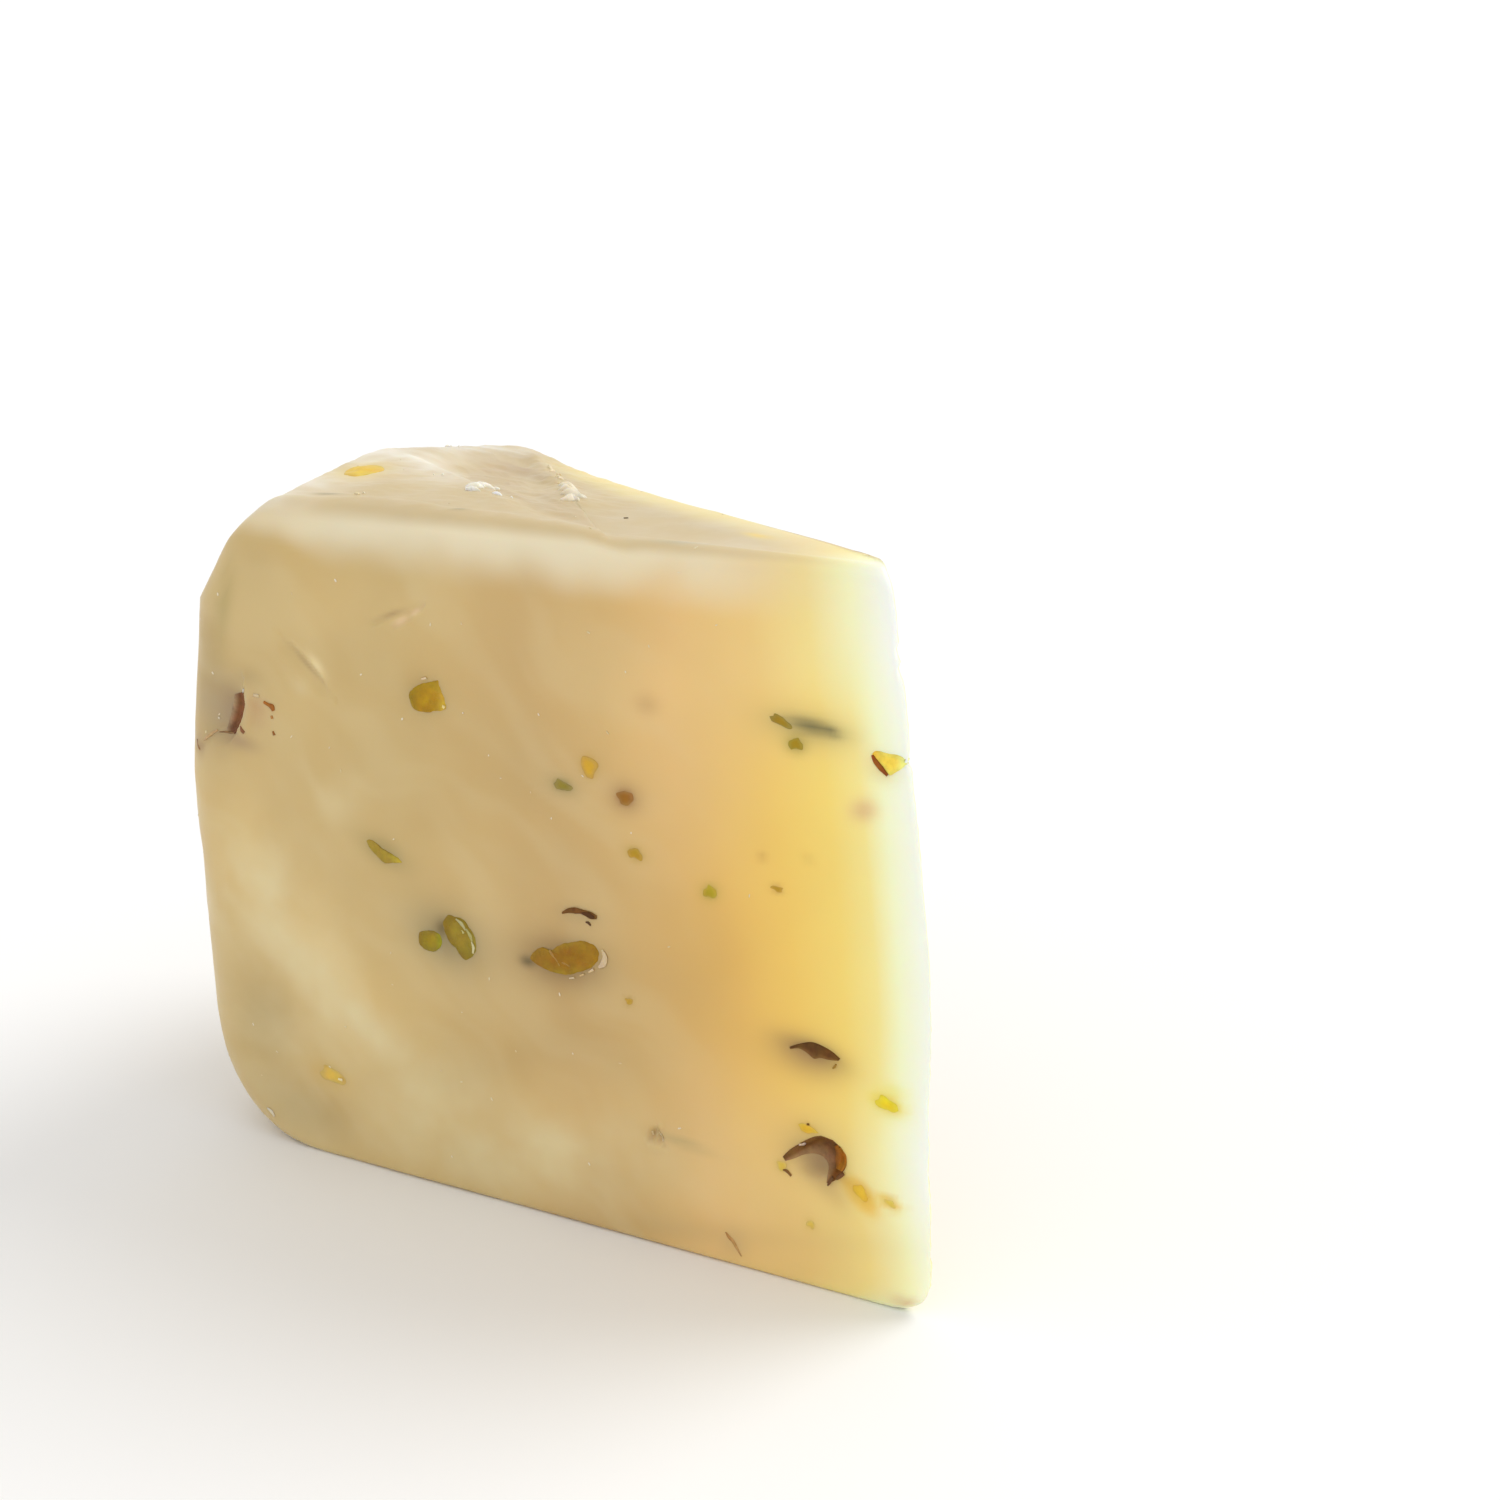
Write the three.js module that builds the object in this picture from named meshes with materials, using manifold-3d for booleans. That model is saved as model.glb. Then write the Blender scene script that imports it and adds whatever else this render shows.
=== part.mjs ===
// Wedge of primosale, a young sheep's milk cheese, with chopped pistachios through its paste.
// It is cut from a low round wheel, so it has two flat cut faces, a rounded rind and a rounded foot.
// Its top is uneven: a lump by the rind runs out as a crest, and the paste behind the crest is torn away.
// Lengths are in millimetres. X runs along the front cut face from rind to tip, Y runs back, Z is up.
import * as THREE from 'three';
import { mergeVertices } from 'three/addons/utils/BufferGeometryUtils.js';
import Module from 'manifold-3d';

const wasm = await Module();
wasm.setup();

// Wedge, with its front cut face on the plane y = 0
const height = 90;
const rindFront = -5.6;
const tipFront = 103.3;
const rindBackX = -6;
const rindBackY = 69;
const rindBulge = 4.5;
const towardsWheelCentre = new THREE.Vector2(0.945, -0.327);

// Rounding of the rind at foot and shoulder, and its lean inwards above the waist
const foot = { run: 17, rise: 19, fullness: 2.25 };
const shoulder = { run: 10.8, rise: 14, fullness: 1.08 };
const rindWaist = 50;
const rindLean = 5;
const rindLeanPower = 1.3;
const rindBelly = 0.9;
const rindBellyAt = 54;
const rindBellySpread = 13;

// Edges of the cut faces
const faceTopAtRind = { run: 7, rise: 7, fullness: 2 };
const faceTopAtTip = { run: 2.2, rise: 3, fullness: 2 };
const faceFoot = { run: 0.9, rise: 1.1, fullness: 2 };
const backTop = { run: 2.5, rise: 3, fullness: 2 };

// Tip edge, which leans back above its waist and flares at the foot
const tipWaist = 36;
const tipLean = 6.2;
const tipLeanPower = 1.25;
const tipFlare = 1.1;
const tipFlareHeight = 20;
const tipFoot = { run: 5, rise: 5, fullness: 2 };
const tipTop = { run: 2, rise: 3.5, fullness: 2 };

// How far the plan's corners are cut back before they are rounded
const rindFrontCorner = 6;
const rindFrontCornerAtTop = 2.5;
const rindFrontCornerSharpens = [74, 89];
const tipCorner = 5;
const rindBackCorner = 7;

// Relief of the top: it rises from tip to rind, where two ridges meet in a peak.
// One ridge follows the rind, the other is the crest in front of the torn trough.
// Widths are to the left and to the right of a ridge, seen from the peak.
const rindRise = 1.1;
const tipDrop = 0.7;
const peak = new THREE.Vector2(5.5, 34);
const peakHeight = 1.9;
const crest = { to: new THREE.Vector2(38, 14), endHeight: 0.4, leftWidth: 3.5, rightWidth: 12 };
const rindRidge = { to: new THREE.Vector2(12, 57), endHeight: 0, leftWidth: 9, rightWidth: 7 };
const tornDepth = 1.3;
const tornShelf = 4;
const tornStartsBetween = [8, 24];
const reliefStartsAt = 70;

// Fineness of the mesh
const frontSteps = 18;
const backSteps = 14;
const rindSteps = 12;
const cornerSteps = 5;
const edgeRings = 6;
const sideRings = 4;
const capRings = 12;
const capCentre = new THREE.Vector2(38, 24);

// Pistachio pieces, cut flush with the face that they show in.
// at: x and z on the front face. size: width, height and depth. turn: degrees in the face.
// squareness: 2 is an oval, 5 is a block. taper: how much narrower the left end is.
const clearance = 0.3;
const nutSteps = 4;
const mergeWithin = 1e-4;
const green = 0x8a8a26;
const olive = 0xa8881c;
const ochre = 0x9a6c18;
const yellow = 0xd8b030;
const ivory = 0xd8c48e;
const oilySheen = 0.4;
const moistSheen = 0.45;
const frontPieces = [
  {
    name: 'pistachio_kernel', at: [54.8, 36.3], size: [11.8, 4.7, 5.2],
    turn: 2, squareness: 2.2, taper: 0.3, colour: ochre,
  },
  {
    name: 'pistachio_cube', at: [35.1, 68], size: [5, 3.9, 4],
    turn: 3, squareness: 4.5, taper: 0.3, colour: olive,
  },
  {
    name: 'pistachio_long', at: [38.7, 36.3], size: [7.2, 3.1, 3.4],
    turn: -50, squareness: 2.6, taper: 0.1, colour: green,
  },
  {
    name: 'pistachio_round', at: [34, 35], size: [3.6, 3.2, 3],
    turn: -30, squareness: 2.4, taper: 0, colour: green,
  },
  {
    name: 'pistachio_sliver', at: [27.4, 46.2], size: [6, 2, 2.6],
    turn: -19, squareness: 2.8, taper: 0.2, colour: green,
  },
  {
    name: 'pistachio_sunk', at: [87.2, 70.5], size: [8.4, 2.2, 2.4],
    turn: -3, squareness: 2.4, taper: 0.2, colour: green,
  },
  {
    name: 'pistachio_tip', at: [97.4, 67.4], size: [4.2, 2.8, 2.4],
    turn: -12, squareness: 3, taper: -0.4, colour: yellow,
  },
  {
    name: 'pistachio_low_left', at: [16.6, 12.2], size: [4.9, 2.5, 2.6],
    turn: -8, squareness: 2.3, taper: 0.1, colour: yellow,
  },
  {
    name: 'pistachio_low_right', at: [98.4, 26.5], size: [3.6, 2.1, 2.4],
    turn: -14, squareness: 2.4, taper: 0.2, colour: yellow,
  },
  {
    name: 'pistachio_foot', at: [95.4, 14.2], size: [4.4, 2.4, 2.6],
    turn: -48, squareness: 2.3, taper: 0.1, colour: yellow,
  },
];
const depthShareBehindFace = 0.16;

// The piece that shows in the top, by the rind
const topPiece = {
  name: 'pistachio_top', at: [11, 21], size: [5.6, 7.4, 3],
  turn: 24, squareness: 2.2, colour: yellow,
};

// Beds that lost pieces have left in the paste
const bed = { at: [89.4, 16.9], size: [7.2, 6, 4.4], turn: -20 };
const rindBed = { at: [-0.6, 63.4], size: [11, 10, 4.6], turn: -8 };

const smooth = THREE.MathUtils.smoothstep;

/** How far an edge with a superelliptic rounding is set back, at a distance from the edge. */
function setback(distance, edge) {
  if (distance >= edge.rise) return 0;
  const share = 1 - Math.max(distance, 0) / edge.rise;
  return edge.run * (1 - (1 - share ** edge.fullness) ** (1 / edge.fullness));
}

/** How far a wall leans in at height z, above its waist. */
function lean(z, waist, amount, power) {
  return amount * Math.max((z - waist) / (height - waist), 0) ** power;
}

/** The plan's three corners at height z, before rounding. */
function planCorners(z) {
  const belly = rindBelly * Math.exp(-(((z - rindBellyAt) / rindBellySpread) ** 2));
  const roundings = setback(z, foot) + setback(height - z, shoulder);
  const rindIn = lean(z, rindWaist, rindLean, rindLeanPower) + roundings - belly;
  const frontAtRind = setback(height - z, faceTopAtRind) + setback(z, faceFoot);
  const frontAtTip = setback(height - z, faceTopAtTip) + setback(z, faceFoot);
  const flare = tipFlare * Math.max(1 - z / tipFlareHeight, 0);
  const tipRoundings = setback(z, tipFoot) + setback(height - z, tipTop);
  const tipIn = lean(z, tipWaist, tipLean, tipLeanPower) + tipRoundings;
  const roundedOff = tipCorner / 2;
  const backIn = setback(height - z, backTop);
  return {
    rindFront: new THREE.Vector2(rindFront + rindIn, frontAtRind),
    tip: new THREE.Vector2(tipFront + roundedOff + flare - tipIn, frontAtTip),
    rindBack: new THREE.Vector2(rindBackX, rindBackY - backIn).addScaledVector(towardsWheelCentre, rindIn),
  };
}

/** Points of a straight side, with its end point left for the corner that follows. */
function straight(from, to, steps) {
  return new THREE.LineCurve(from, to).getPoints(steps).slice(0, -1);
}

/** Points round a corner, from one side's end to the next side's start. */
function corner(from, at, to) {
  return new THREE.QuadraticBezierCurve(from, at, to).getPoints(cornerSteps).slice(0, -1);
}

/** A point a set length from one point towards another. */
function partWay(from, to, length) {
  return from.clone().addScaledVector(to.clone().sub(from).normalize(), length);
}

/** The wedge's outline at height z, counterclockwise from the front face's rind end. */
function outline(z) {
  const { rindFront: a, tip: b, rindBack: c } = planCorners(z);
  const sharpened = smooth(z, ...rindFrontCornerSharpens);
  const frontCorner = THREE.MathUtils.lerp(rindFrontCorner, rindFrontCornerAtTop, sharpened);
  const middle = a.clone().lerp(c, 0.5).add(new THREE.Vector2(-2 * rindBulge, 0));
  const rind = new THREE.QuadraticBezierCurve(
    partWay(c, middle, rindBackCorner),
    middle,
    partWay(a, middle, frontCorner),
  );
  const frontStart = partWay(a, b, frontCorner);
  const frontEnd = partWay(b, a, tipCorner);
  const backStart = partWay(b, c, tipCorner);
  const backEnd = partWay(c, b, rindBackCorner);
  return [
    ...straight(frontStart, frontEnd, frontSteps),
    ...corner(frontEnd, b, backStart),
    ...straight(backStart, backEnd, backSteps),
    ...corner(backEnd, c, rind.v0),
    ...rind.getPoints(rindSteps).slice(0, -1),
    ...corner(rind.v2, a, frontStart),
  ];
}

/** Height of a ridge that runs down from the peak, at a point in plan. */
function ridgeHeight(point, ridge) {
  const run = ridge.to.clone().sub(peak);
  const offset = point.clone().sub(peak);
  const t = THREE.MathUtils.clamp(offset.dot(run) / run.lengthSq(), 0, 1);
  const away = point.distanceTo(peak.clone().lerp(ridge.to, t));
  const width = run.cross(offset) > 0 ? ridge.leftWidth : ridge.rightWidth;
  return THREE.MathUtils.lerp(peakHeight, ridge.endHeight, t) * Math.exp(-((away / width) ** 2));
}

/** Height of the top above its nominal plane, at a point in plan. */
function topRelief(x, y) {
  const point = new THREE.Vector2(x, y);
  const run = crest.to.clone().sub(peak).normalize();
  const behindCrest = run.cross(point.clone().sub(peak));
  const tornFromRind = smooth(x, ...tornStartsBetween);
  const tornFromTip = 1 - smooth(x, crest.to.x, tipFront - tipLean);
  const torn = tornDepth * smooth(behindCrest, 0, tornShelf) * tornFromRind * tornFromTip;
  const rise = THREE.MathUtils.lerp(rindRise, -tipDrop, x / tipFront);
  return rise + Math.max(ridgeHeight(point, crest), ridgeHeight(point, rindRidge)) - torn;
}

/** Ring heights: close together round the foot and the shoulder, wider apart up the sides. */
function ringHeights() {
  const heights = [];
  for (let i = 0; i <= edgeRings; i++) {
    heights.push(foot.rise * (1 - Math.cos((i / edgeRings) * Math.PI / 2)));
  }
  const shoulderStart = height - shoulder.rise;
  for (let i = 1; i < sideRings; i++) {
    heights.push(THREE.MathUtils.lerp(foot.rise, shoulderStart, i / sideRings));
  }
  for (let i = 0; i <= edgeRings; i++) {
    heights.push(shoulderStart + shoulder.rise * Math.sin((i / edgeRings) * Math.PI / 2));
  }
  return heights;
}

/** The wedge as one closed mesh: rings up the sides, then rings in over the uneven top. */
function wedge() {
  const rings = ringHeights().map((z) => {
    const share = smooth(z, reliefStartsAt, height);
    return outline(z).map((p) => new THREE.Vector3(p.x, p.y, z + share * topRelief(p.x, p.y)));
  });
  const rim = outline(height);
  for (let i = 1; i < capRings; i++) {
    rings.push(rim.map((p) => {
      const inner = p.clone().lerp(capCentre, i / capRings);
      return new THREE.Vector3(inner.x, inner.y, height + topRelief(inner.x, inner.y));
    }));
  }
  const around = rings[0].length;
  const points = rings.flat();
  const bottomCentre = points.push(new THREE.Vector3(capCentre.x, capCentre.y, 0)) - 1;
  const topHeight = height + topRelief(capCentre.x, capCentre.y);
  const topCentre = points.push(new THREE.Vector3(capCentre.x, capCentre.y, topHeight)) - 1;
  const faces = [];
  for (let i = 0; i < around; i++) {
    const next = (i + 1) % around;
    faces.push(bottomCentre, next, i);
    for (let r = 0; r < rings.length - 1; r++) {
      const low = r * around;
      const high = low + around;
      faces.push(low + i, low + next, high + next, low + i, high + next, high + i);
    }
    const last = (rings.length - 1) * around;
    faces.push(last + i, last + next, topCentre);
  }
  return new THREE.BufferGeometry().setFromPoints(points).setIndex(faces);
}

/** A block with rounded sides, between an oval and a box, whose left end may be narrower. */
function lump(size, squareness, taper) {
  const box = new THREE.BoxGeometry(2, 2, 2, nutSteps, nutSteps, nutSteps);
  const position = box.attributes.position;
  const p = new THREE.Vector3();
  for (let i = 0; i < position.count; i++) {
    p.fromBufferAttribute(position, i);
    const sum = Math.abs(p.x) ** squareness + Math.abs(p.y) ** squareness + Math.abs(p.z) ** squareness;
    p.divideScalar(sum ** (1 / squareness));
    p.z *= 1 + taper * (p.x - 1) / 2;
    position.setXYZ(i, p.x * size[0] / 2, p.y * size[2] / 2, p.z * size[1] / 2);
  }
  return box;
}

/** A lump that lies behind the front face, grown by a margin on every side. */
function frontLump(piece, margin) {
  const size = piece.size.map((s) => s + 2 * margin);
  const shape = lump(size, piece.squareness ?? 2, piece.taper ?? 0);
  shape.rotateY(-THREE.MathUtils.degToRad(piece.turn));
  return shape.translate(piece.at[0], piece.size[2] * depthShareBehindFace, piece.at[1]);
}

/** The lump in the top, grown by a margin on every side. */
function topLump(margin) {
  const size = topPiece.size.map((s) => s + 2 * margin);
  const shape = lump(size, topPiece.squareness, 0);
  shape.rotateX(-Math.PI / 2);
  shape.rotateZ(THREE.MathUtils.degToRad(topPiece.turn));
  const [x, y] = topPiece.at;
  return shape.translate(x, y, height + topRelief(x, y) - topPiece.size[2] * depthShareBehindFace);
}

/** A closed geometry as a solid that can be cut. */
function toSolid(geometry) {
  const bare = geometry.clone();
  bare.deleteAttribute('normal');
  bare.deleteAttribute('uv');
  const merged = mergeVertices(bare, mergeWithin);
  return new wasm.Manifold(new wasm.Mesh({
    numProp: 3,
    vertProperties: new Float32Array(merged.attributes.position.array),
    triVerts: new Uint32Array(merged.index.array),
  }));
}

/** A cut solid as a geometry again. */
function toGeometry(solid) {
  const mesh = solid.getMesh();
  const geometry = new THREE.BufferGeometry();
  geometry.setAttribute('position', new THREE.BufferAttribute(new Float32Array(mesh.vertProperties), 3));
  geometry.setIndex(new THREE.BufferAttribute(new Uint32Array(mesh.triVerts), 1));
  geometry.computeVertexNormals();
  return geometry;
}

/** A named mesh with a soft matt finish. */
function foodMesh(name, geometry, colour, roughness) {
  const material = new THREE.MeshStandardMaterial({ color: colour, roughness, metalness: 0 });
  const mesh = new THREE.Mesh(geometry, material);
  mesh.name = name;
  return mesh;
}

const uncut = toSolid(wedge());
let paste = uncut;
for (const hollow of [bed, rindBed]) {
  paste = paste.subtract(toSolid(frontLump(hollow, 0)));
}
const pieces = frontPieces.map((piece) => ({
  ...piece,
  solid: toSolid(frontLump(piece, 0)),
  pocket: toSolid(frontLump(piece, clearance)),
}));
pieces.push({ ...topPiece, solid: toSolid(topLump(0)), pocket: toSolid(topLump(clearance)) });

const cheese = new THREE.Group();
let taken = null;
for (const piece of pieces) {
  let solid = piece.solid.intersect(uncut);
  if (taken) solid = solid.subtract(taken);
  taken = taken ? taken.add(piece.pocket) : piece.pocket;
  paste = paste.subtract(piece.pocket);
  cheese.add(foodMesh(piece.name, toGeometry(solid), piece.colour, oilySheen));
}
const body = toGeometry(paste);
cheese.add(foodMesh('paste', body, ivory, moistSheen));

// The origin is the middle of the wedge's box, on the surface that it stands on
body.computeBoundingBox();
const middle = body.boundingBox.getCenter(new THREE.Vector3());
cheese.position.set(-middle.x, -middle.y, 0);

const root = new THREE.Group();
root.add(cheese);
root.updateMatrixWorld(true);

export default root;
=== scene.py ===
import math

import bmesh
import bpy
import numpy as np
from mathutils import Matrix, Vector, noise
from mathutils.bvhtree import BVHTree


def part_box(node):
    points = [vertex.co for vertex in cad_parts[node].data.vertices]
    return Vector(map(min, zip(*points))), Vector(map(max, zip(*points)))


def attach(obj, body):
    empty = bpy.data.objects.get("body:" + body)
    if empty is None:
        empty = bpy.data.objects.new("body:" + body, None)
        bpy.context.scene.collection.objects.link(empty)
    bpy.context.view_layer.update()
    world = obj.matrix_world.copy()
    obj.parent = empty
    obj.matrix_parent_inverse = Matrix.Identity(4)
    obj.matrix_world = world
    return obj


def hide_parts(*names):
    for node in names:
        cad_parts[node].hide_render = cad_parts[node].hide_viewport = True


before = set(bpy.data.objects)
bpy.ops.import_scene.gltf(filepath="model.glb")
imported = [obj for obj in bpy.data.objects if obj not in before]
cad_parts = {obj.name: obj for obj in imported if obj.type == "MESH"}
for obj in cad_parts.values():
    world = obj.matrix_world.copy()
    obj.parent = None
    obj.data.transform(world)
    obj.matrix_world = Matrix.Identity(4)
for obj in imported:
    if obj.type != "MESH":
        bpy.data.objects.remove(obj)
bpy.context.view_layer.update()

# Paste
# The wedge itself is young sheep's milk cheese: a close, smooth and slightly translucent curd.
# It was pressed in a round mould, cut with a wire on two sides and torn open along its top.
# Here x runs along the front cut face from rind to tip, y runs back and z up, in millimetres.
MM = 0.001
height = 90
rind_front = -5.6
tip_front = 103.3
rind_back = np.array([-6.0, 69.0])
rind_bulge = 4.5
towards_wheel_centre = np.array([0.945, -0.327])

# Rounding of the rind at foot and shoulder, and its lean inwards above the waist
foot = {"run": 17, "rise": 19, "fullness": 2.25}
shoulder = {"run": 10.8, "rise": 14, "fullness": 1.08}
rind_lean = {"waist": 50, "amount": 5, "power": 1.3}
rind_belly = 0.9
rind_belly_at = 54
rind_belly_spread = 13

# Edges of the cut faces, and the tip edge, which leans back above its waist and flares at the foot
face_top_at_rind = {"run": 7, "rise": 7, "fullness": 2}
face_top_at_tip = {"run": 2.2, "rise": 3, "fullness": 2}
face_foot = {"run": 0.9, "rise": 1.1, "fullness": 2}
back_top = {"run": 2.5, "rise": 3, "fullness": 2}
tip_lean = {"waist": 36, "amount": 6.2, "power": 1.25}
tip_flare = 1.1
tip_flare_height = 20
tip_foot = {"run": 5, "rise": 5, "fullness": 2}
tip_top = {"run": 2, "rise": 3.5, "fullness": 2}
rind_front_corner = 6
rind_front_corner_at_top = 2.5
rind_front_corner_sharpens = (74, 89)
tip_corner = 5
rind_back_corner = 7

# Relief of the top: two ridges meet in a peak by the rind, and the paste behind the crest is torn away
rind_rise = 1.1
tip_drop = 0.7
peak = np.array([5.5, 34.0])
peak_height = 1.9
crest = {"to": np.array([38.0, 14.0]), "end_height": 0.4, "left": 3.5, "right": 12}
rind_ridge = {"to": np.array([12.0, 57.0]), "end_height": 0, "left": 9, "right": 7}
torn_depth = 1.3
torn_shelf = 4
relief_starts_at = 70
cap_centre = np.array([38.0, 24.0])

# Fineness of the skin, in steps round the plan and rings from the foot to the middle of the top
steps_on = {"front": 178, "back": 74, "rind": 54, "corner": 6}
foot_rings = 34
side_rings = 82
shoulder_rings = 28
cap_rings = 38


def smooth(value, start, end):
    share = np.clip((value - start) / (end - start), 0, 1)
    return share * share * (3 - 2 * share)


def setback(distance, edge):
    """How far a rounded edge stands back, at a distance from the edge."""
    share = 1 - np.clip(distance, 0, edge["rise"]) / edge["rise"]
    return edge["run"] * (1 - (1 - share ** edge["fullness"]) ** (1 / edge["fullness"]))


def lean(z, wall):
    """How far a wall leans in at height z, above its waist."""
    return wall["amount"] * max((z - wall["waist"]) / (height - wall["waist"]), 0) ** wall["power"]


def plan_corners(z):
    """The plan's three corners at height z, before rounding: front at the rind, tip, back at the rind."""
    belly = rind_belly * math.exp(-(((z - rind_belly_at) / rind_belly_spread) ** 2))
    rind_in = lean(z, rind_lean) + setback(z, foot) + setback(height - z, shoulder) - belly
    front_at_rind = setback(height - z, face_top_at_rind) + setback(z, face_foot)
    front_at_tip = setback(height - z, face_top_at_tip) + setback(z, face_foot)
    flare = tip_flare * max(1 - z / tip_flare_height, 0)
    tip_in = lean(z, tip_lean) + setback(z, tip_foot) + setback(height - z, tip_top)
    return (
        np.array([rind_front + rind_in, front_at_rind]),
        np.array([tip_front + tip_corner / 2 + flare - tip_in, front_at_tip]),
        rind_back - [0, setback(height - z, back_top)] + towards_wheel_centre * rind_in,
    )


def part_way(start, end, length):
    """A point a set length from one point towards another."""
    return start + (end - start) * (length / np.linalg.norm(end - start))


def bend(start, control, end, steps):
    """Points on a curve that leaves start towards control and arrives at end, without the last."""
    t = (np.arange(steps) / steps)[:, None]
    return start * (1 - t) ** 2 + control * (2 * t * (1 - t)) + end * t ** 2


def outline(z):
    """The wedge's outline at height z, counterclockwise from the front face's rind end."""
    a, b, c = plan_corners(z)
    front_corner = np.interp(
        smooth(z, *rind_front_corner_sharpens), [0, 1], [rind_front_corner, rind_front_corner_at_top]
    )
    bulge = (a + c) / 2 - [2 * rind_bulge, 0]
    rind_start = part_way(c, bulge, rind_back_corner)
    rind_end = part_way(a, bulge, front_corner)
    front_start, front_end = part_way(a, b, front_corner), part_way(b, a, tip_corner)
    back_start, back_end = part_way(b, c, tip_corner), part_way(c, b, rind_back_corner)
    return np.concatenate([
        bend(front_start, (front_start + front_end) / 2, front_end, steps_on["front"]),
        bend(front_end, b, back_start, steps_on["corner"]),
        bend(back_start, (back_start + back_end) / 2, back_end, steps_on["back"]),
        bend(back_end, c, rind_start, steps_on["corner"]),
        bend(rind_start, bulge, rind_end, steps_on["rind"]),
        bend(rind_end, a, front_start, steps_on["corner"]),
    ])


def cross(a, b):
    return a[..., 0] * b[..., 1] - a[..., 1] * b[..., 0]


def ridge_height(plan, ridge):
    """Height of a ridge that runs down from the peak, at points in plan."""
    run = ridge["to"] - peak
    t = np.clip((plan - peak) @ run / (run @ run), 0, 1)
    away = np.linalg.norm(plan - peak - t[:, None] * run, axis=1)
    width = np.where(cross(run, plan - peak) > 0, ridge["left"], ridge["right"])
    return np.interp(t, [0, 1], [peak_height, ridge["end_height"]]) * np.exp(-((away / width) ** 2))


def behind_crest(plan):
    """Distance behind the crest's line, at points in plan."""
    run = crest["to"] - peak
    return cross(run / np.linalg.norm(run), plan - peak)


def torn_share(plan):
    """1 where the top is torn away behind the crest, 0 where it is whole, at points in plan."""
    x = plan[:, 0]
    along = smooth(x, 8, 24) * (1 - smooth(x, crest["to"][0], tip_front - tip_lean["amount"]))
    return smooth(behind_crest(plan), 0, torn_shelf) * along


def top_relief(plan):
    """Height of the top above its nominal plane, at points in plan."""
    ridges = np.maximum(ridge_height(plan, crest), ridge_height(plan, rind_ridge))
    slope = np.interp(plan[:, 0], [0, tip_front], [rind_rise, -tip_drop])
    return slope + ridges - torn_depth * torn_share(plan)


def ring_heights():
    """Rings lie close together low on the foot and high on the shoulder."""
    quarter = math.pi / 2
    shoulder_start = height - shoulder["rise"]
    low = foot["rise"] * (1 - np.cos(np.linspace(0, quarter, foot_rings + 1)))
    side = np.linspace(foot["rise"], shoulder_start, side_rings + 1)[1:-1]
    high = shoulder_start + shoulder["rise"] * np.sin(np.linspace(0, quarter, shoulder_rings + 1))
    return np.concatenate([low, side, high])


def wedge_skin():
    """Points and faces of the whole wedge: rings up the sides, then rings in over the top."""
    rings = []
    for z in ring_heights():
        plan = outline(z)
        tops = z + smooth(z, relief_starts_at, height) * top_relief(plan)
        rings.append(np.column_stack([plan, tops]))
    for i in range(1, cap_rings):
        plan = outline(height) + (cap_centre - outline(height)) * i / cap_rings
        rings.append(np.column_stack([plan, height + top_relief(plan)]))
    around = len(rings[0])
    top_z = height + top_relief(cap_centre[None])[0]
    points = np.concatenate([*rings, [[*cap_centre, 0], [*cap_centre, top_z]]])
    bottom_middle, top_middle = len(points) - 2, len(points) - 1
    faces = []
    for i in range(around):
        following = (i + 1) % around
        faces.append((bottom_middle, following, i))
        for low in range(0, (len(rings) - 1) * around, around):
            high = low + around
            faces.append((low + i, low + following, high + following, high + i))
        faces.append((high + i, high + following, top_middle))
    return points, faces


# Small features of the front face that need a finer skin: lowest x and z, highest x and z, and how often
# it is cut there. The torn part of the top, with its lowest x and y and highest x and y, is cut once
fine_zones = [
    ((-8, 53, 9, 70), 1), ((83, 11, 97, 23), 2), ((12, 65, 22, 74), 1), ((26, 75, 37, 80.5), 1),
    ((47, 32, 63, 41), 1), ((30, 32, 43, 41), 1), ((84, 28, 95, 34), 1), ((64, 13, 71, 18), 1),
]
torn_zone = (2, 12, 46, 64)


def refine(skin):
    """Cuts the skin finer round the small features and in the torn part of the top."""
    for (x0, z0, x1, z1), cuts in fine_zones:
        for _ in range(cuts):
            near = [
                edge for edge in skin.edges
                if all(x0 < v.co.x < x1 and z0 < v.co.z < z1 and v.co.y < 5 for v in edge.verts)
            ]
            bmesh.ops.subdivide_edges(skin, edges=near, cuts=1, use_grid_fill=True)
    x0, y0, x1, y1 = torn_zone
    torn = [
        edge for edge in skin.edges
        if all(x0 < v.co.x < x1 and y0 < v.co.y < y1 and v.co.z > height - 2 for v in edge.verts)
    ]
    bmesh.ops.subdivide_edges(skin, edges=torn, cuts=1, use_grid_fill=True)


def rough(points, size, octaves, seed):
    """Smooth noise from -1 to 1 at each point. size is the width of one lump, a number or one per axis."""
    shift = Vector((seed * 7.3, seed * 3.1, seed * 5.7))
    return np.array([noise.fractal(Vector(p) + shift, 1.0, 2.0, octaves) for p in points / size])


def turned(x, z, at, turn):
    """Distances along and across a direction that is turned in the front face, from a place on it."""
    c, s = math.cos(math.radians(turn)), math.sin(math.radians(turn))
    return (x - at[0]) * c + (z - at[1]) * s, (z - at[1]) * c - (x - at[0]) * s


def oval(x, z, at, size, turn=0):
    """0 in the middle of an oval on the front face, 1 on its edge."""
    along, across = turned(x, z, at, turn)
    return np.hypot(along / (size[0] / 2), across / (size[1] / 2))


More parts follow.
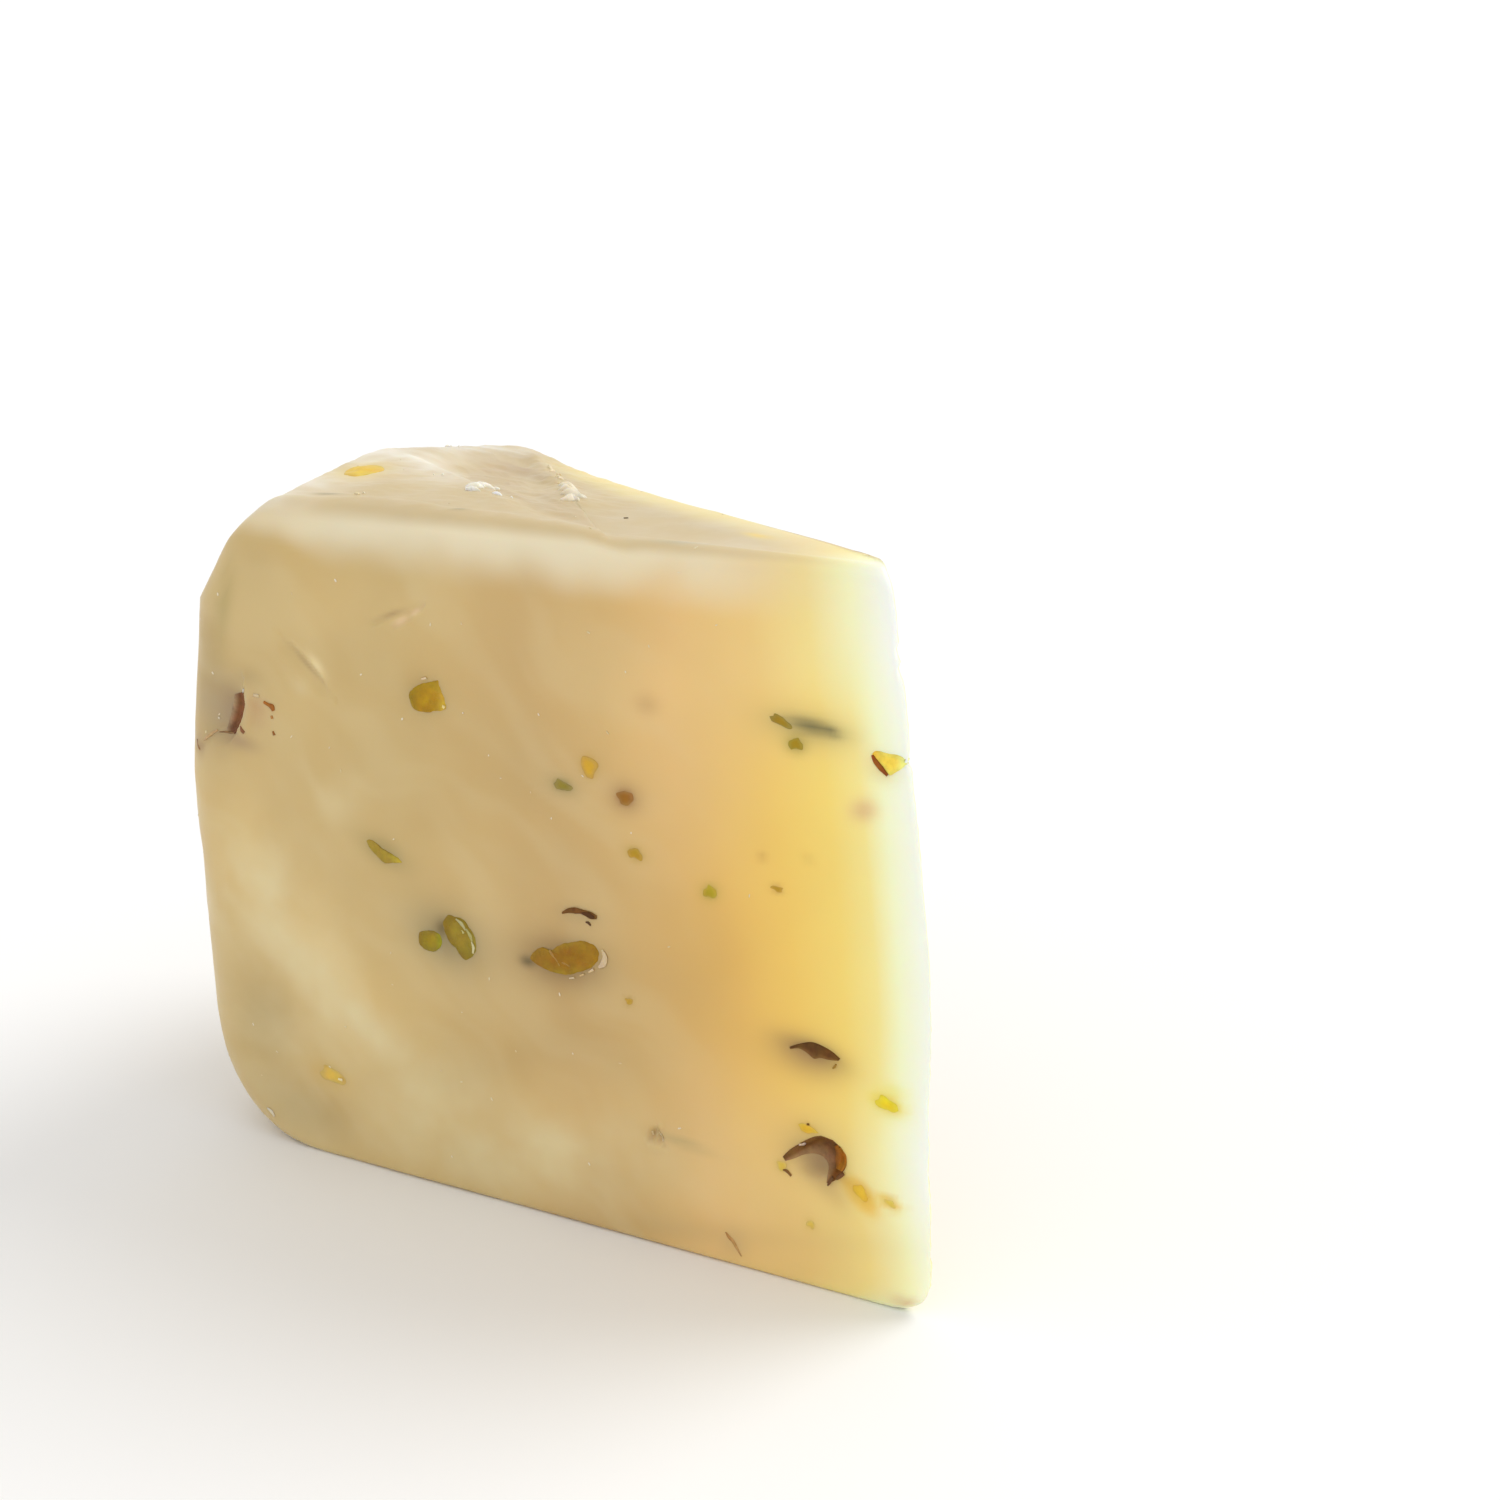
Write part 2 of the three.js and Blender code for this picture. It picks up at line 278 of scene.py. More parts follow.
def line_distance(x, z, corners):
    """Distance to a line through corners, and the side, above 0 to its left."""
    nearest = np.full(len(x), 1e9)
    side = np.zeros(len(x))
    for start, end in zip(corners[:-1], corners[1:]):
        run = np.subtract(end, start)
        offset = np.column_stack([x - start[0], z - start[1]])
        t = np.clip(offset @ run / (run @ run), 0, 1)
        away = np.linalg.norm(offset - t[:, None] * run, axis=1)
        closer = away < nearest
        nearest = np.where(closer, away, nearest)
        side = np.where(closer, cross(run[None], offset), side)
    return nearest, np.sign(side)


# Swellings and hollows of the front face: place, size, turn and how far the paste stands back
front_waves = [
    ((17, 27), (30, 11), -38, -0.45), ((6, 16), (12, 20), -15, 0.35), ((13, 5), (18, 9), -10, 0.3),
    ((27, 7), (12, 11), 20, -0.25), ((48, 12), (26, 9), 8, -0.3), ((44, 19), (36, 7), 24, 0.3),
    ((28, 78), (34, 12), 5, -0.25), ((9, 80), (12, 14), -30, 0.3), ((62, 60), (26, 30), 10, 0.2),
    ((36, 56), (30, 18), -20, -0.2),
]

# Places of the nuts in the front face, from their solids, so that the paste closes round each one
mid_x = (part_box("paste")[0].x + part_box("paste")[1].x) / 2 / MM
skin_points, skin_faces = wedge_skin()
to_part = np.array([
    mid_x - (skin_points[:, 0].min() + skin_points[:, 0].max()) / 2,
    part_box("paste")[0].y / MM,
    0,
])
front_nuts = sorted(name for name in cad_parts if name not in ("paste", "pistachio_top"))
nut_boxes = {name: np.array(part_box(name)) / MM - to_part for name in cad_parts}

paste_mesh = bpy.data.meshes.new("paste_wedge")
paste_mesh.from_pydata(skin_points, [], skin_faces)
skin = bmesh.new()
skin.from_mesh(paste_mesh)
refine(skin)
skin.to_mesh(paste_mesh)
skin.free()
paste_mesh.shade_smooth()


def points_of(mesh):
    points = np.zeros(len(mesh.vertices) * 3)
    mesh.vertices.foreach_get("co", points)
    return points.reshape(-1, 3)


def normals_of(mesh):
    normals = np.zeros(len(mesh.vertices) * 3)
    mesh.vertices.foreach_get("normal", normals)
    return normals.reshape(-1, 3)


base = points_of(paste_mesh)
normals = normals_of(paste_mesh)
x, y, z = base.T
plan = base[:, :2]
on_front = smooth(-normals[:, 1], 0.5, 0.95) * (1 - smooth(y, 1, 4))
on_top = smooth(normals[:, 2], 0.55, 0.9) * smooth(z, height - 8, height - 4)

# Relief of the front face, as depth behind it. Round each nut the paste stands back a little
nut_hollow = 0.28
nut_hollow_margin = 0.7
depth = np.zeros(len(base))
for at, size, turn, dip in front_waves:
    depth += dip * np.exp(-1.4 * oval(x, z, at, size, turn) ** 2)
for name in front_nuts:
    low, high = nut_boxes[name]
    middle = (low + high) / 2
    size = (high - low)[[0, 2]] + 2 * nut_hollow_margin
    depth += nut_hollow * np.exp(-2 * oval(x, z, middle[[0, 2]], size) ** 4)

# The bed that a lost piece left: a steep wall at the upper right, and a floor that ramps up to the face
bed_depth = 1.9
bed_wall = [
    (85.3, 16.8), (86.2, 17.9), (87.6, 19.1), (88.9, 20.1), (90.2, 20.7), (91.8, 20.5),
    (92.9, 19.8), (93.7, 18.7), (93.7, 17.5), (93.2, 16.5), (92.3, 15.3), (91.4, 14.7),
]
wall_away, wall_side = line_distance(x, z, bed_wall)
inside_wall = np.where(wall_side < 0, wall_away, -wall_away)
bed_floor = smooth(inside_wall, -0.1, 1.2) * np.exp(-1.2 * oval(x, z, (90.6, 18.4), (9, 9)) ** 2)
for end, reach in ((bed_wall[0], 2.2), (bed_wall[-1], 1.4)):
    bed_floor *= 1 - np.exp(-((np.hypot(x - end[0], z - end[1]) / reach) ** 2))
depth += bed_depth * bed_floor * smooth(z, 14.2, 16.2)

# The broken corner by the rind: a smooth bed left of a split, whose other side stands up as a lip
split_depth = 1.0
split_lip = 0.25
split_lip_width = 0.9
split = [(5.8, 64.9), (5.9, 63.1), (5.3, 61.3), (4.3, 59.5), (3.6, 58.8)]
split_away, split_side = line_distance(x, z, split)
left_of_split = np.where(split_side < 0, split_away, -split_away)
bed_along = smooth(z, 56.6, 60.2) * (1 - smooth(z, 63.8, 68.5))
bed_fall = smooth(left_of_split, -0.1, 1.1) * (1 - smooth(left_of_split, 1.5, 9))
depth += split_depth * bed_fall * bed_along
depth -= split_lip * np.exp(-((left_of_split + split_lip_width) / split_lip_width) ** 2) * bed_along

# Creases and nicks that the wire pulled up: a line, how deep it is, and the width of each flank
creases = [
    ([(14.2, 72.0), (15.7, 70.9), (17.5, 69.4), (19.1, 67.7)], 0.35, 1.5, 0.4),
    ([(28.4, 76.4), (31.1, 77.7), (33.6, 78.2), (35.4, 79.1)], 0.22, 0.3, 0.8),
    ([(31.2, 76.2), (33.6, 77.4)], 0.18, 0.25, 0.5),
    ([(38.3, 41.0), (41.8, 41.3), (45.0, 42.4), (48.3, 43.1)], 0.10, 0.5, 1.2),
    ([(66.9, 14.9), (67.4, 15.7), (68.1, 15.0)], 0.9, 0.6, 0.5),
    ([(4.0, 59.0), (1.4, 58.7), (-0.9, 57.8), (-3.3, 55.9)], 0.25, 0.35, 1.2),
]
for line, deep, right, left in creases:
    away, side = line_distance(x, z, line)
    width = np.where(side > 0, left, right)
    depth += deep * np.exp(-((away / width) ** 2))
    depth -= 0.5 * deep * np.exp(-(((away - 1.6 * right) / right) ** 2)) * (side < 0)

face_swell = 0.12
face_dimple = 0.04
swell = face_swell * rough(base, 30, 2, 1) + face_dimple * rough(base, 8, 2, 2)
relief = np.zeros_like(base)
relief[:, 1] = on_front * (depth + swell)

# Relief of the top: a low step behind the light band, a fold that runs into the torn part, and its layers
step_depth = 0.25
fold_height = 0.8
layer_height = 0.3
torn_rise = 0.7
torn_back_drop = 0.5
crust_height = 0.14
band_edge_x = [-10, 17.5, 26.9, 40.5, 51.3, 64.6, 79.1, 89.6, 110]
band_edge_y = [4.5, 5.5, 7.6, 5.6, 7.0, 5.7, 3.2, 2.2, 1]
behind_band = y - np.interp(x, band_edge_x, band_edge_y)
step_down = step_depth * smooth(behind_band, -0.6, 0.8) * (1 - smooth(behind_band, 3, 9))
fold = [(18, 52), (29.2, 38.6), (36.7, 30.5), (42.6, 23.5)]
fold_away, fold_side = line_distance(x, y, fold)
fold_width = np.where(fold_side > 0, 3.2, 1.8)
fold_rise = fold_height * np.exp(-((fold_away / fold_width) ** 2)) * (1 + 0.5 * rough(base, 3, 2, 18))
torn = torn_share(plan) * smooth(-fold_side * fold_away, -2, 2.5)
warp = 3 * rough(base, 12, 2, 19)
along_layers = (x + warp) * 0.12 + y * 0.05
across_layers = (behind_crest(plan) + warp) * 0.4
layer_noise = rough(np.column_stack([along_layers, across_layers, np.zeros(len(x))]), 1, 3, 4)
crust = rough(base, np.array([5, 2.2, 3]), 3, 5)
relief[:, 2] = on_top * (
    fold_rise - step_down
    + torn * (layer_height * layer_noise + torn_rise - torn_back_drop * smooth(y, 24, 42))
    + crust_height * crust * (1 - smooth(x, 45, 60))
)

# The thin tip edge crumbled under the wire: fine teeth low down and three notches higher up
tooth_height = 0.24
notch_depth = 0.45
notch_half_width = 0.7
notches_at = (67.8, 77.9, 80.0)
tip_edge = smooth(normals[:, 0], 0.3, 0.8) * smooth(x, 90, 95) * smooth(z, 0, 1.5)
teeth = tooth_height * rough(base, 1.3, 2, 17) * (1 - 0.7 * smooth(z, 24, 42))
for notch_at in notches_at:
    teeth -= notch_depth * np.exp(-(((z - notch_at) / notch_half_width) ** 2))
relief[:, 0] = tip_edge * teeth

# The far faces are as uneven as the front
far_swell = 0.45
far_dimple = 0.12
far = (1 - on_front) * (1 - on_top) * smooth(z, 0, 3)
far_relief = far * (far_swell * rough(base, 24, 2, 6) + far_dimple * rough(base, 6, 2, 7))
relief += normals * far_relief[:, None]
paste_points = base + relief
paste_mesh.vertices.foreach_set("co", ((paste_points + to_part) * MM).ravel())
paste_mesh.update()

# Colour of the paste: a painted glow where light comes through the thin tip, weaker low down, high up and
# where the sun falls on the back face, and nuts near the surface stain it
tip_x = np.interp(z, np.arange(height + 1), [plan_corners(level)[1][0] for level in range(height + 1)])
from_tip = np.hypot(tip_x - tip_corner / 2 - x, np.maximum(y - 1, 0))
facing_back = smooth(normals[:, 1], 0, 0.6)
from_tip += 3 * rough(base, 24, 2, 13) * smooth(from_tip, 4, 30)
from_tip += 6 * facing_back + 3 * (1 - smooth(z, 2, 22))
glow_edge = 70 + 14 * ((z - 42) / 28) ** 2 + 3 * rough(base, 14, 2, 8)
painted_glow = smooth(x, glow_edge - 13, glow_edge + 14) * (1 - 0.75 * smooth(z, 70, 82))
painted_glow *= (0.25 + 0.75 * smooth(z, 13, 33)) * (1 - 0.75 * facing_back)

# Painted light and shade in the front face: lighter where its swellings face the light, darker in its
# hollows, by its left edge and along its foot. Place, size, turn and change
painted_light_and_shade = np.zeros(len(base))
for at, size, turn, change in [
    ((16, 29), (34, 15), -38, 0.18), ((5, 18), (11, 15), -15, -0.20), ((11, 6), (20, 9), -10, -0.19),
    ((30, 9), (16, 12), 20, 0.10), ((52, 13), (36, 12), 8, 0.10), ((44, 20), (36, 6), 24, -0.04),
    ((28, 79), (30, 11), 5, 0.06), ((8, 82), (14, 12), -30, -0.10), ((0, 66), (8, 24), 0, -0.22),
    ((3, 46), (13, 18), 0, 0.08), ((60, 27), (24, 14), 0, -0.02), ((70, 3), (60, 4), 10, -0.08),
    ((70, 15), (16, 10), 10, -0.08), ((92, 9), (20, 16), 0, -0.07), ((60, 26), (30, 10), -20, -0.05),
    ((70, 44), (22, 60), 0, -0.04),
]:
    painted_light_and_shade += change * np.exp(-1.2 * oval(x, z, at, size, turn) ** 2)
# A little random tone, and the back face painted a little darker because the sun lights it there
painted_light_and_shade += 0.03 * rough(base, 18, 2, 9) - 0.06 * facing_back

# Painted light and sheen in the front face: paler, whiter patches where its swellings catch the light.
# Place, size, turn and share
lit_patches_and_veils = np.zeros(len(base))
for at, size, turn, share in [
    ((14, 27), (34, 13), -38, 0.6), ((6, 38), (14, 20), -10, 0.6), ((32, 10), (22, 14), 20, 0.6),
    ((23, 21), (16, 9), -30, 0.65),
    ((50, 9), (30, 12), 4, 0.66), ((21, 52), (8, 12), -60, 0.3), ((30, 79), (26, 12), 5, 0.12),
    ((8, 26), (46, 60), 0, 0.26), ((46, 8), (60, 15), 8, 0.52),
]:
    lit_patches_and_veils = np.maximum(lit_patches_and_veils, share * np.exp(-1.2 * oval(x, z, at, size, turn) ** 2))
lit_patches_and_veils *= 1 + 0.6 * rough(base, 7, 3, 10)

# Veils of paler curd that run slantwise through the paste, except where it glows
swirl = 4 * rough(base, 16, 2, 15)
veil_along, veil_across = turned(x + swirl, z + swirl, (0, 0), -38)
veils = rough(np.column_stack([veil_along, y, veil_across]), np.array([26, 20, 8]), 3, 16)
lit_patches_and_veils += 0.2 * smooth(veils, -0.35, 0.6) * (1 - smooth(x, 60, 84))
# A painted light band along the rounded top edge of the front face, where light from above falls
edge_light_from = height - 8.6 + 4 * (1 - smooth(x, 4, 34))
painted_edge_light = smooth(z + 1.5 * rough(base, 10, 2, 14), edge_light_from, height - 1.5) * (1 - smooth(x, 68, 96))
painted_edge_light *= 0.6 + 0.4 * smooth(x, 4, 26)

# Painted light and shade of the top: a painted sheen along the crest and by the rind, painted grey-brown
# shade in the torn part and its layers, and a painted yellow glow at the thin back rim where light comes
# through it
tip_corner_point, back_corner_point = plan_corners(height)[1:]
back_run = (back_corner_point - tip_corner_point) / np.linalg.norm(back_corner_point - tip_corner_point)
from_back = cross(back_run, plan - tip_corner_point)
painted_rim_glow = (1 - smooth(from_back, 0, 7)) * smooth(x, 12, 34)
by_crest = np.exp(-((behind_crest(plan) / 5) ** 2)) * (1 - smooth(x, 14, 34))
painted_sheen = np.maximum(by_crest, 1 - smooth(x, 3, 20)) * (0.75 + 0.6 * rough(base, 5, 2, 20))
torn_shade = torn * np.clip(0.6 + 0.9 * layer_noise, 0, 1) * (0.3 + 0.7 * smooth(y, 34, 50))


def paint(red, green, blue, alpha=1.0):
    """A colour as it looks, 0 to 255, as the linear values that a shader works in."""
    return (*(((c / 255 + 0.055) / 1.055) ** 2.4 for c in (red, green, blue)), alpha)


mark_falloff = 1.5
mark_colour = np.zeros((len(base), 3))
mark_weight = np.full(len(base), 1e-6)
unmarked = np.ones(len(base))


def soak(amount, colour):
    """Tints the paste with a colour, a stain, painted shade or painted highlight, by an amount from 0 to 1
    at each of its points.
    """
    mark_colour[:] = mark_colour * (1 - amount)[:, None] + amount[:, None] * np.array(paint(*colour)[:3])
    mark_weight[:] = mark_weight * (1 - amount) + amount
    unmarked[:] *= 1 - amount


def stain_shade_and_light(at, size, turn, colour, strength, sharpness=1, side="front"):
    """An oval stain, painted shade or painted highlight in the front face, or in the top, where x and y
    give its place.
    """
    beside, share = (z, on_front) if side == "front" else (y, on_top)
    away = oval(x, beside, at, size, turn)
    soak(strength * share * np.exp(-mark_falloff * away ** (2 * sharpness)), colour)


def store(mesh, name, values):
    """Keeps one number, or one colour with its strength, for each point of the mesh."""
    kind, key = ("FLOAT", "value") if values.ndim == 1 else ("FLOAT_COLOR", "color")
    mesh.attributes.new(name, kind, "POINT").data.foreach_set(key, values.astype(np.float32).ravel())


store(paste_mesh, "from_tip", from_tip / 100)
store(paste_mesh, "painted_glow", painted_glow)
store(paste_mesh, "painted_light_and_shade", 1 + painted_light_and_shade * (1 - on_top))
store(paste_mesh, "lit_patches_and_veils", np.clip(lit_patches_and_veils, 0, 1) * (1 - on_top))
store(paste_mesh, "on_top", on_top * (1 - 0.85 * smooth(x, 66, 97)))
store(paste_mesh, "painted_edge_light", painted_edge_light)
store(paste_mesh, "torn", torn_shade)
store(paste_mesh, "painted_sheen", np.clip(painted_sheen, 0, 1))
store(paste_mesh, "painted_rim_glow", painted_rim_glow)

paste_material = bpy.data.materials.new("moist_paste")
paste_material.use_nodes = True


class Nodes:
    """Adds and joins the nodes of one material or geometry tree."""

    def __init__(self, tree):
        self.tree = tree

    def add(self, kind, inputs=None, **settings):
        node = self.tree.nodes.new(kind)
        for key, value in settings.items():
            setattr(node, key, value)
        for key, value in (inputs or {}).items():
            if isinstance(value, bpy.types.NodeSocket):
                self.tree.links.new(value, node.inputs[key])
            else:
                node.inputs[key].default_value = value
        return node

    def ramp(self, factor, stops):
        node = self.add("ShaderNodeValToRGB", {"Fac": factor})
        while len(node.color_ramp.elements) < len(stops):
            node.color_ramp.elements.new(0.5)
        for element, (position, colour) in zip(node.color_ramp.elements, stops):
            element.position = position
            element.color = paint(*colour)
        return node.outputs["Color"]

    def mix(self, factor, a, b, blend="MIX"):
        node = self.add("ShaderNodeMix", {0: factor, 6: a, 7: b}, data_type="RGBA", blend_type=blend)
        return node.outputs[2]

    def attribute(self, name, output="Fac"):
        return self.add("ShaderNodeAttribute", attribute_name=name).outputs[output]

    def grain(self, scale, detail=3.0, roughness=0.55):
        place = self.add("ShaderNodeTexCoord").outputs["Object"]
        inputs = {"Vector": place, "Scale": scale, "Detail": detail, "Roughness": roughness}
        return self.add("ShaderNodeTexNoise", inputs).outputs["Fac"]

    def span(self, value, low, high, from_low=0.3, from_high=0.7):
        inputs = {
            "Value": value, "From Min": from_low, "From Max": from_high, "To Min": low, "To Max": high,
        }
        return self.add("ShaderNodeMapRange", inputs).outputs["Result"]

    def bump(self, height, strength, distance):
        inputs = {"Height": height, "Strength": strength, "Distance": distance}
        return self.add("ShaderNodeBump", inputs).outputs["Normal"]


make = Nodes(paste_material.node_tree)
# Distance from the tip in tenths of a metre, and the colour there: a painted glow, near white at the thin
# tip and yellow behind it, where light comes through the paste
pale = make.ramp(make.attribute("from_tip"), [
    (0.0, (250, 255, 248)), (0.045, (250, 252, 202)), (0.10, (250, 227, 146)), (0.17, (244, 208, 130)),
    (0.28, (235, 195, 126)), (0.38, (217, 180, 113)), (0.48, (206, 172, 111)), (0.7, (206, 176, 113)),
])
warm = make.ramp(make.attribute("from_tip"), [
    (0.0, (246, 252, 236)), (0.03, (247, 254, 208)), (0.06, (250, 233, 146)), (0.10, (250, 219, 114)),
    (0.16, (243, 203, 98)), (0.24, (231, 185, 92)), (0.36, (211, 169, 91)), (0.6, (206, 174, 110)),
])
glowing_paste = make.mix(make.attribute("painted_glow"), pale, warm)
patches = make.span(make.grain(45.0, 2.0), 0.96, 1.04)
# Painted light and shade of the front face
lit = make.add("ShaderNodeHueSaturation", {"Color": glowing_paste, "Value": make.attribute("painted_light_and_shade")})
# Painted light on the front face's swellings, and veils of paler curd
lit_and_veiled = make.mix(make.attribute("lit_patches_and_veils"), lit.outputs["Color"], paint(226, 210, 162))
# The painted light band along the front face's top edge
edge = make.mix(make.attribute("painted_edge_light"), lit_and_veiled, paint(237, 224, 190))
# The top's own colour under painted shade in the torn part, a painted sheen by the crest and rind, and a
# painted glow at the back rim
torn_shaded = make.mix(make.attribute("torn"), paint(206, 184, 138), paint(178, 150, 112))
sheened = make.mix(make.attribute("painted_sheen"), torn_shaded, paint(238, 232, 216))
top_colour = make.mix(make.attribute("painted_rim_glow"), sheened, paint(240, 222, 154))
skin_colour = make.mix(make.attribute("on_top"), edge, top_colour)
# Stains, painted shade and painted highlights over the paste's colour
with_stains_and_painted_light = make.mix(make.attribute("stain_shade_and_light", "Alpha"), skin_colour, make.attribute("stain_shade_and_light", "Color"))
mottled = make.add("ShaderNodeHueSaturation", {"Color": with_stains_and_painted_light, "Value": patches})
shader = paste_material.node_tree.nodes["Principled BSDF"]
links = paste_material.node_tree.links
links.new(mottled.outputs["Color"], shader.inputs["Base Color"])
links.new(make.span(make.grain(160.0), 0.30, 0.48), shader.inputs["Roughness"])
links.new(make.bump(make.grain(1400.0, 4.0), 0.12, 0.0002), shader.inputs["Normal"])
shader.inputs["Subsurface Weight"].default_value = 0.3
shader.inputs["Subsurface Radius"].default_value = (1.0, 0.65, 0.3)
shader.inputs["Subsurface Scale"].default_value = 0.003
paste_mesh.materials.append(paste_material)


def add_object(name, data):
    """A new object in the scene."""
    added = bpy.data.objects.new(name, data)
    bpy.context.scene.collection.objects.link(added)
    return added


paste = add_object("paste_wedge", paste_mesh)
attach(paste, "root")
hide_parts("paste")

# Cut nuts
# Chopped pistachio kernels, which the wire cut through together with the paste.
# Each shows a flat, glossy cut just proud of the paste, and its body reaches back into the paste.
paste_tree = BVHTree.FromPolygons(paste_points.tolist(), [tuple(f.vertices) for f in paste_mesh.polygons])


def settle(places, under, side="front"):
    """Places in the front face (x, z) or in the top (x, y), this far under the paste's skin there.

    A place that lies just past the paste's edge gets the nearest point of the paste.
    """
    places = np.asarray(places, float)
    run_up = 20.0
    if side == "front":
        starts = np.column_stack([places[:, 0], np.full(len(places), -run_up), places[:, 1]])
        inward = np.array([0.0, 1.0, 0.0])
    else:
        starts = np.column_stack([places, np.full(len(places), height + run_up)])
        inward = np.array([0.0, 0.0, -1.0])
    hits = [paste_tree.ray_cast(Vector(start), Vector(inward))[0] for start in starts]
    for i, hit in enumerate(hits):
        if hit is None:
            hits[i] = paste_tree.find_nearest(Vector(starts[i] + run_up * inward))[0]
    return np.array(hits) + np.asarray(under)[..., None] * inward


def through(corners, steps, closed=True):
    """A smooth curve through corner points, with this many steps from each one to the next."""
    p = np.asarray(corners, float)
    if not closed:
        p = np.concatenate([[2 * p[0] - p[1]], p, [2 * p[-1] - p[-2]]])
    before, after, later = np.roll(p, 1, 0), np.roll(p, -1, 0), np.roll(p, -2, 0)
    t = (np.arange(steps) / steps)[:, None]
    a, b, c, d = (q[:, None, :] for q in (before, p, after, later))
    curve = 0.5 * (
        2 * b + (c - a) * t + (2 * a - 5 * b + 4 * c - d) * t**2 + (3 * b - a - 3 * c + d) * t**3
    )
    if closed:
        return curve.reshape(-1, p.shape[1])
    return np.concatenate([curve[1:-2].reshape(-1, p.shape[1]), p[-2:-1]])


# The cut, from its middle to its rim: share of the way out, and height over the paste's skin
cut_profile = [(0.25, 0.12), (0.5, 0.11), (0.7, 0.10), (0.84, 0.09), (0.93, 0.06), (0.98, 0.0), (1.0, -0.1)]
# The same for the hidden body, as a share of its thickness
body_profile = [(0.98, 0.35), (0.86, 0.7), (0.6, 0.92), (0.3, 1.0)]
rim_wobble = 0.12
facet_height = 0.05


def closed_faces(around, ring_count):
    """Faces between rings with this many points each. The two points after them close the ends."""
    first_end = around * ring_count
    last_ring = first_end - around
    faces = []
    for i in range(around):
        following = (i + 1) % around
        faces.append((first_end, i, following))
        for low in range(0, last_ring, around):
            faces.append((low + i, low + around + i, low + around + following, low + following))
        faces.append((first_end + 1, last_ring + following, last_ring + i))
    return faces


def nut(corners, at, thickness, tints, seed, side="front", dome=0.0, proud=1.0):
    """Points, faces and colours of a nut. tints are those of its middle, rim, left end and right end."""
    loop = through(np.add(corners, at), 4)
    ragged = np.column_stack([loop, np.full(len(loop), seed)])
    loop += rim_wobble * np.column_stack([rough(ragged, 0.8, 2, seed), rough(ragged, 0.8, 2, seed + 40)])
    middle = loop.mean(0)
    span = np.ptp(loop, axis=0).max() / 2
    rings, shares = [], []
    for share, over in cut_profile:
        flat = middle + (loop - middle) * share
        level = np.column_stack([flat, np.full(len(flat), seed)])
        facets = facet_height * rough(level, 1.1, 2, seed) * (share < 0.95)
        rings.append(settle(flat, -proud * (over + facets) - dome * (1 - share**2), side))
        shares.append(share)
    for share, deep in body_profile:
        rings.append(settle(middle + (loop - middle) * share, deep * thickness, side))
        shares.append(1)
    ends = np.array([settle(middle[None], -proud * cut_profile[0][1] - dome, side)[0], rings[-1].mean(0)])
    points = np.concatenate([*rings, ends])
    faces = closed_faces(len(loop), len(rings))
    share = np.concatenate([np.repeat(shares, len(loop)), [0, 1]])
    across = (points[:, 0] - middle[0]) / span
    centre, rim, left, right = (np.array(paint(*tint)) for tint in tints)
    colours = centre + (rim - centre) * smooth(share, 0.35, 0.95)[:, None]
    colours += (left - colours) * smooth(-across, 0.35, 0.9)[:, None]
    colours += (right - colours) * smooth(across, 0.35, 0.9)[:, None]
    return points, faces, colours


def build(name, parts, material, node=None):
    """Makes one piece from closed parts, each with points, faces and a colour for each point."""
    points, faces, colours = [], [], []
    first = 0
    for part_points, part_faces, part_colours in parts:
        points.append(part_points)
        faces.extend(tuple(first + i for i in face) for face in part_faces)
        colours.append(part_colours)
        first += len(part_points)
    mesh = bpy.data.meshes.new(name)
    mesh.from_pydata((np.concatenate(points) + to_part) * MM, [], faces)
    shell = bmesh.new()
    shell.from_mesh(mesh)
    bmesh.ops.recalc_face_normals(shell, faces=shell.faces)
    shell.to_mesh(mesh)
    shell.free()
    mesh.shade_smooth()
    store(mesh, "tint", np.concatenate(colours))
    mesh.materials.append(material)
    piece = add_object(name, mesh)
    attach(piece, "root")
    if node:
        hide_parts(node)


def tinted_material(name, mottle, glossy, matt, grain_size, bump_depth, seen_through, sheen):
    """A finish whose colour is the piece's own tint, mottled and grained."""
    material = bpy.data.materials.new(name)
    material.use_nodes = True
    make = Nodes(material.node_tree)
    value = make.span(make.grain(grain_size, 3.0), 1 - mottle, 1 + mottle)
    hue = make.span(make.grain(grain_size * 0.6, 2.0), 0.49, 0.51)
    colour = make.add(
        "ShaderNodeHueSaturation", {"Color": make.attribute("tint", "Color"), "Value": value, "Hue": hue}
    )
    shader = material.node_tree.nodes["Principled BSDF"]
    material.node_tree.links.new(colour.outputs["Color"], shader.inputs["Base Color"])
    roughness = make.span(make.grain(grain_size * 0.8), glossy, matt)
    material.node_tree.links.new(roughness, shader.inputs["Roughness"])
    normal = make.bump(make.grain(grain_size * 2.2, 4.0), 0.5, bump_depth)
    material.node_tree.links.new(normal, shader.inputs["Normal"])
    shader.inputs["Subsurface Weight"].default_value = seen_through
    shader.inputs["Subsurface Radius"].default_value = (1.0, 0.8, 0.3)
    shader.inputs["Subsurface Scale"].default_value = 0.0008
    shader.inputs["Specular IOR Level"].default_value = sheen
    return material


cut_flesh = tinted_material("cut_pistachio", 0.14, 0.22, 0.4, 900.0, 0.00008, 0.15, 0.2)

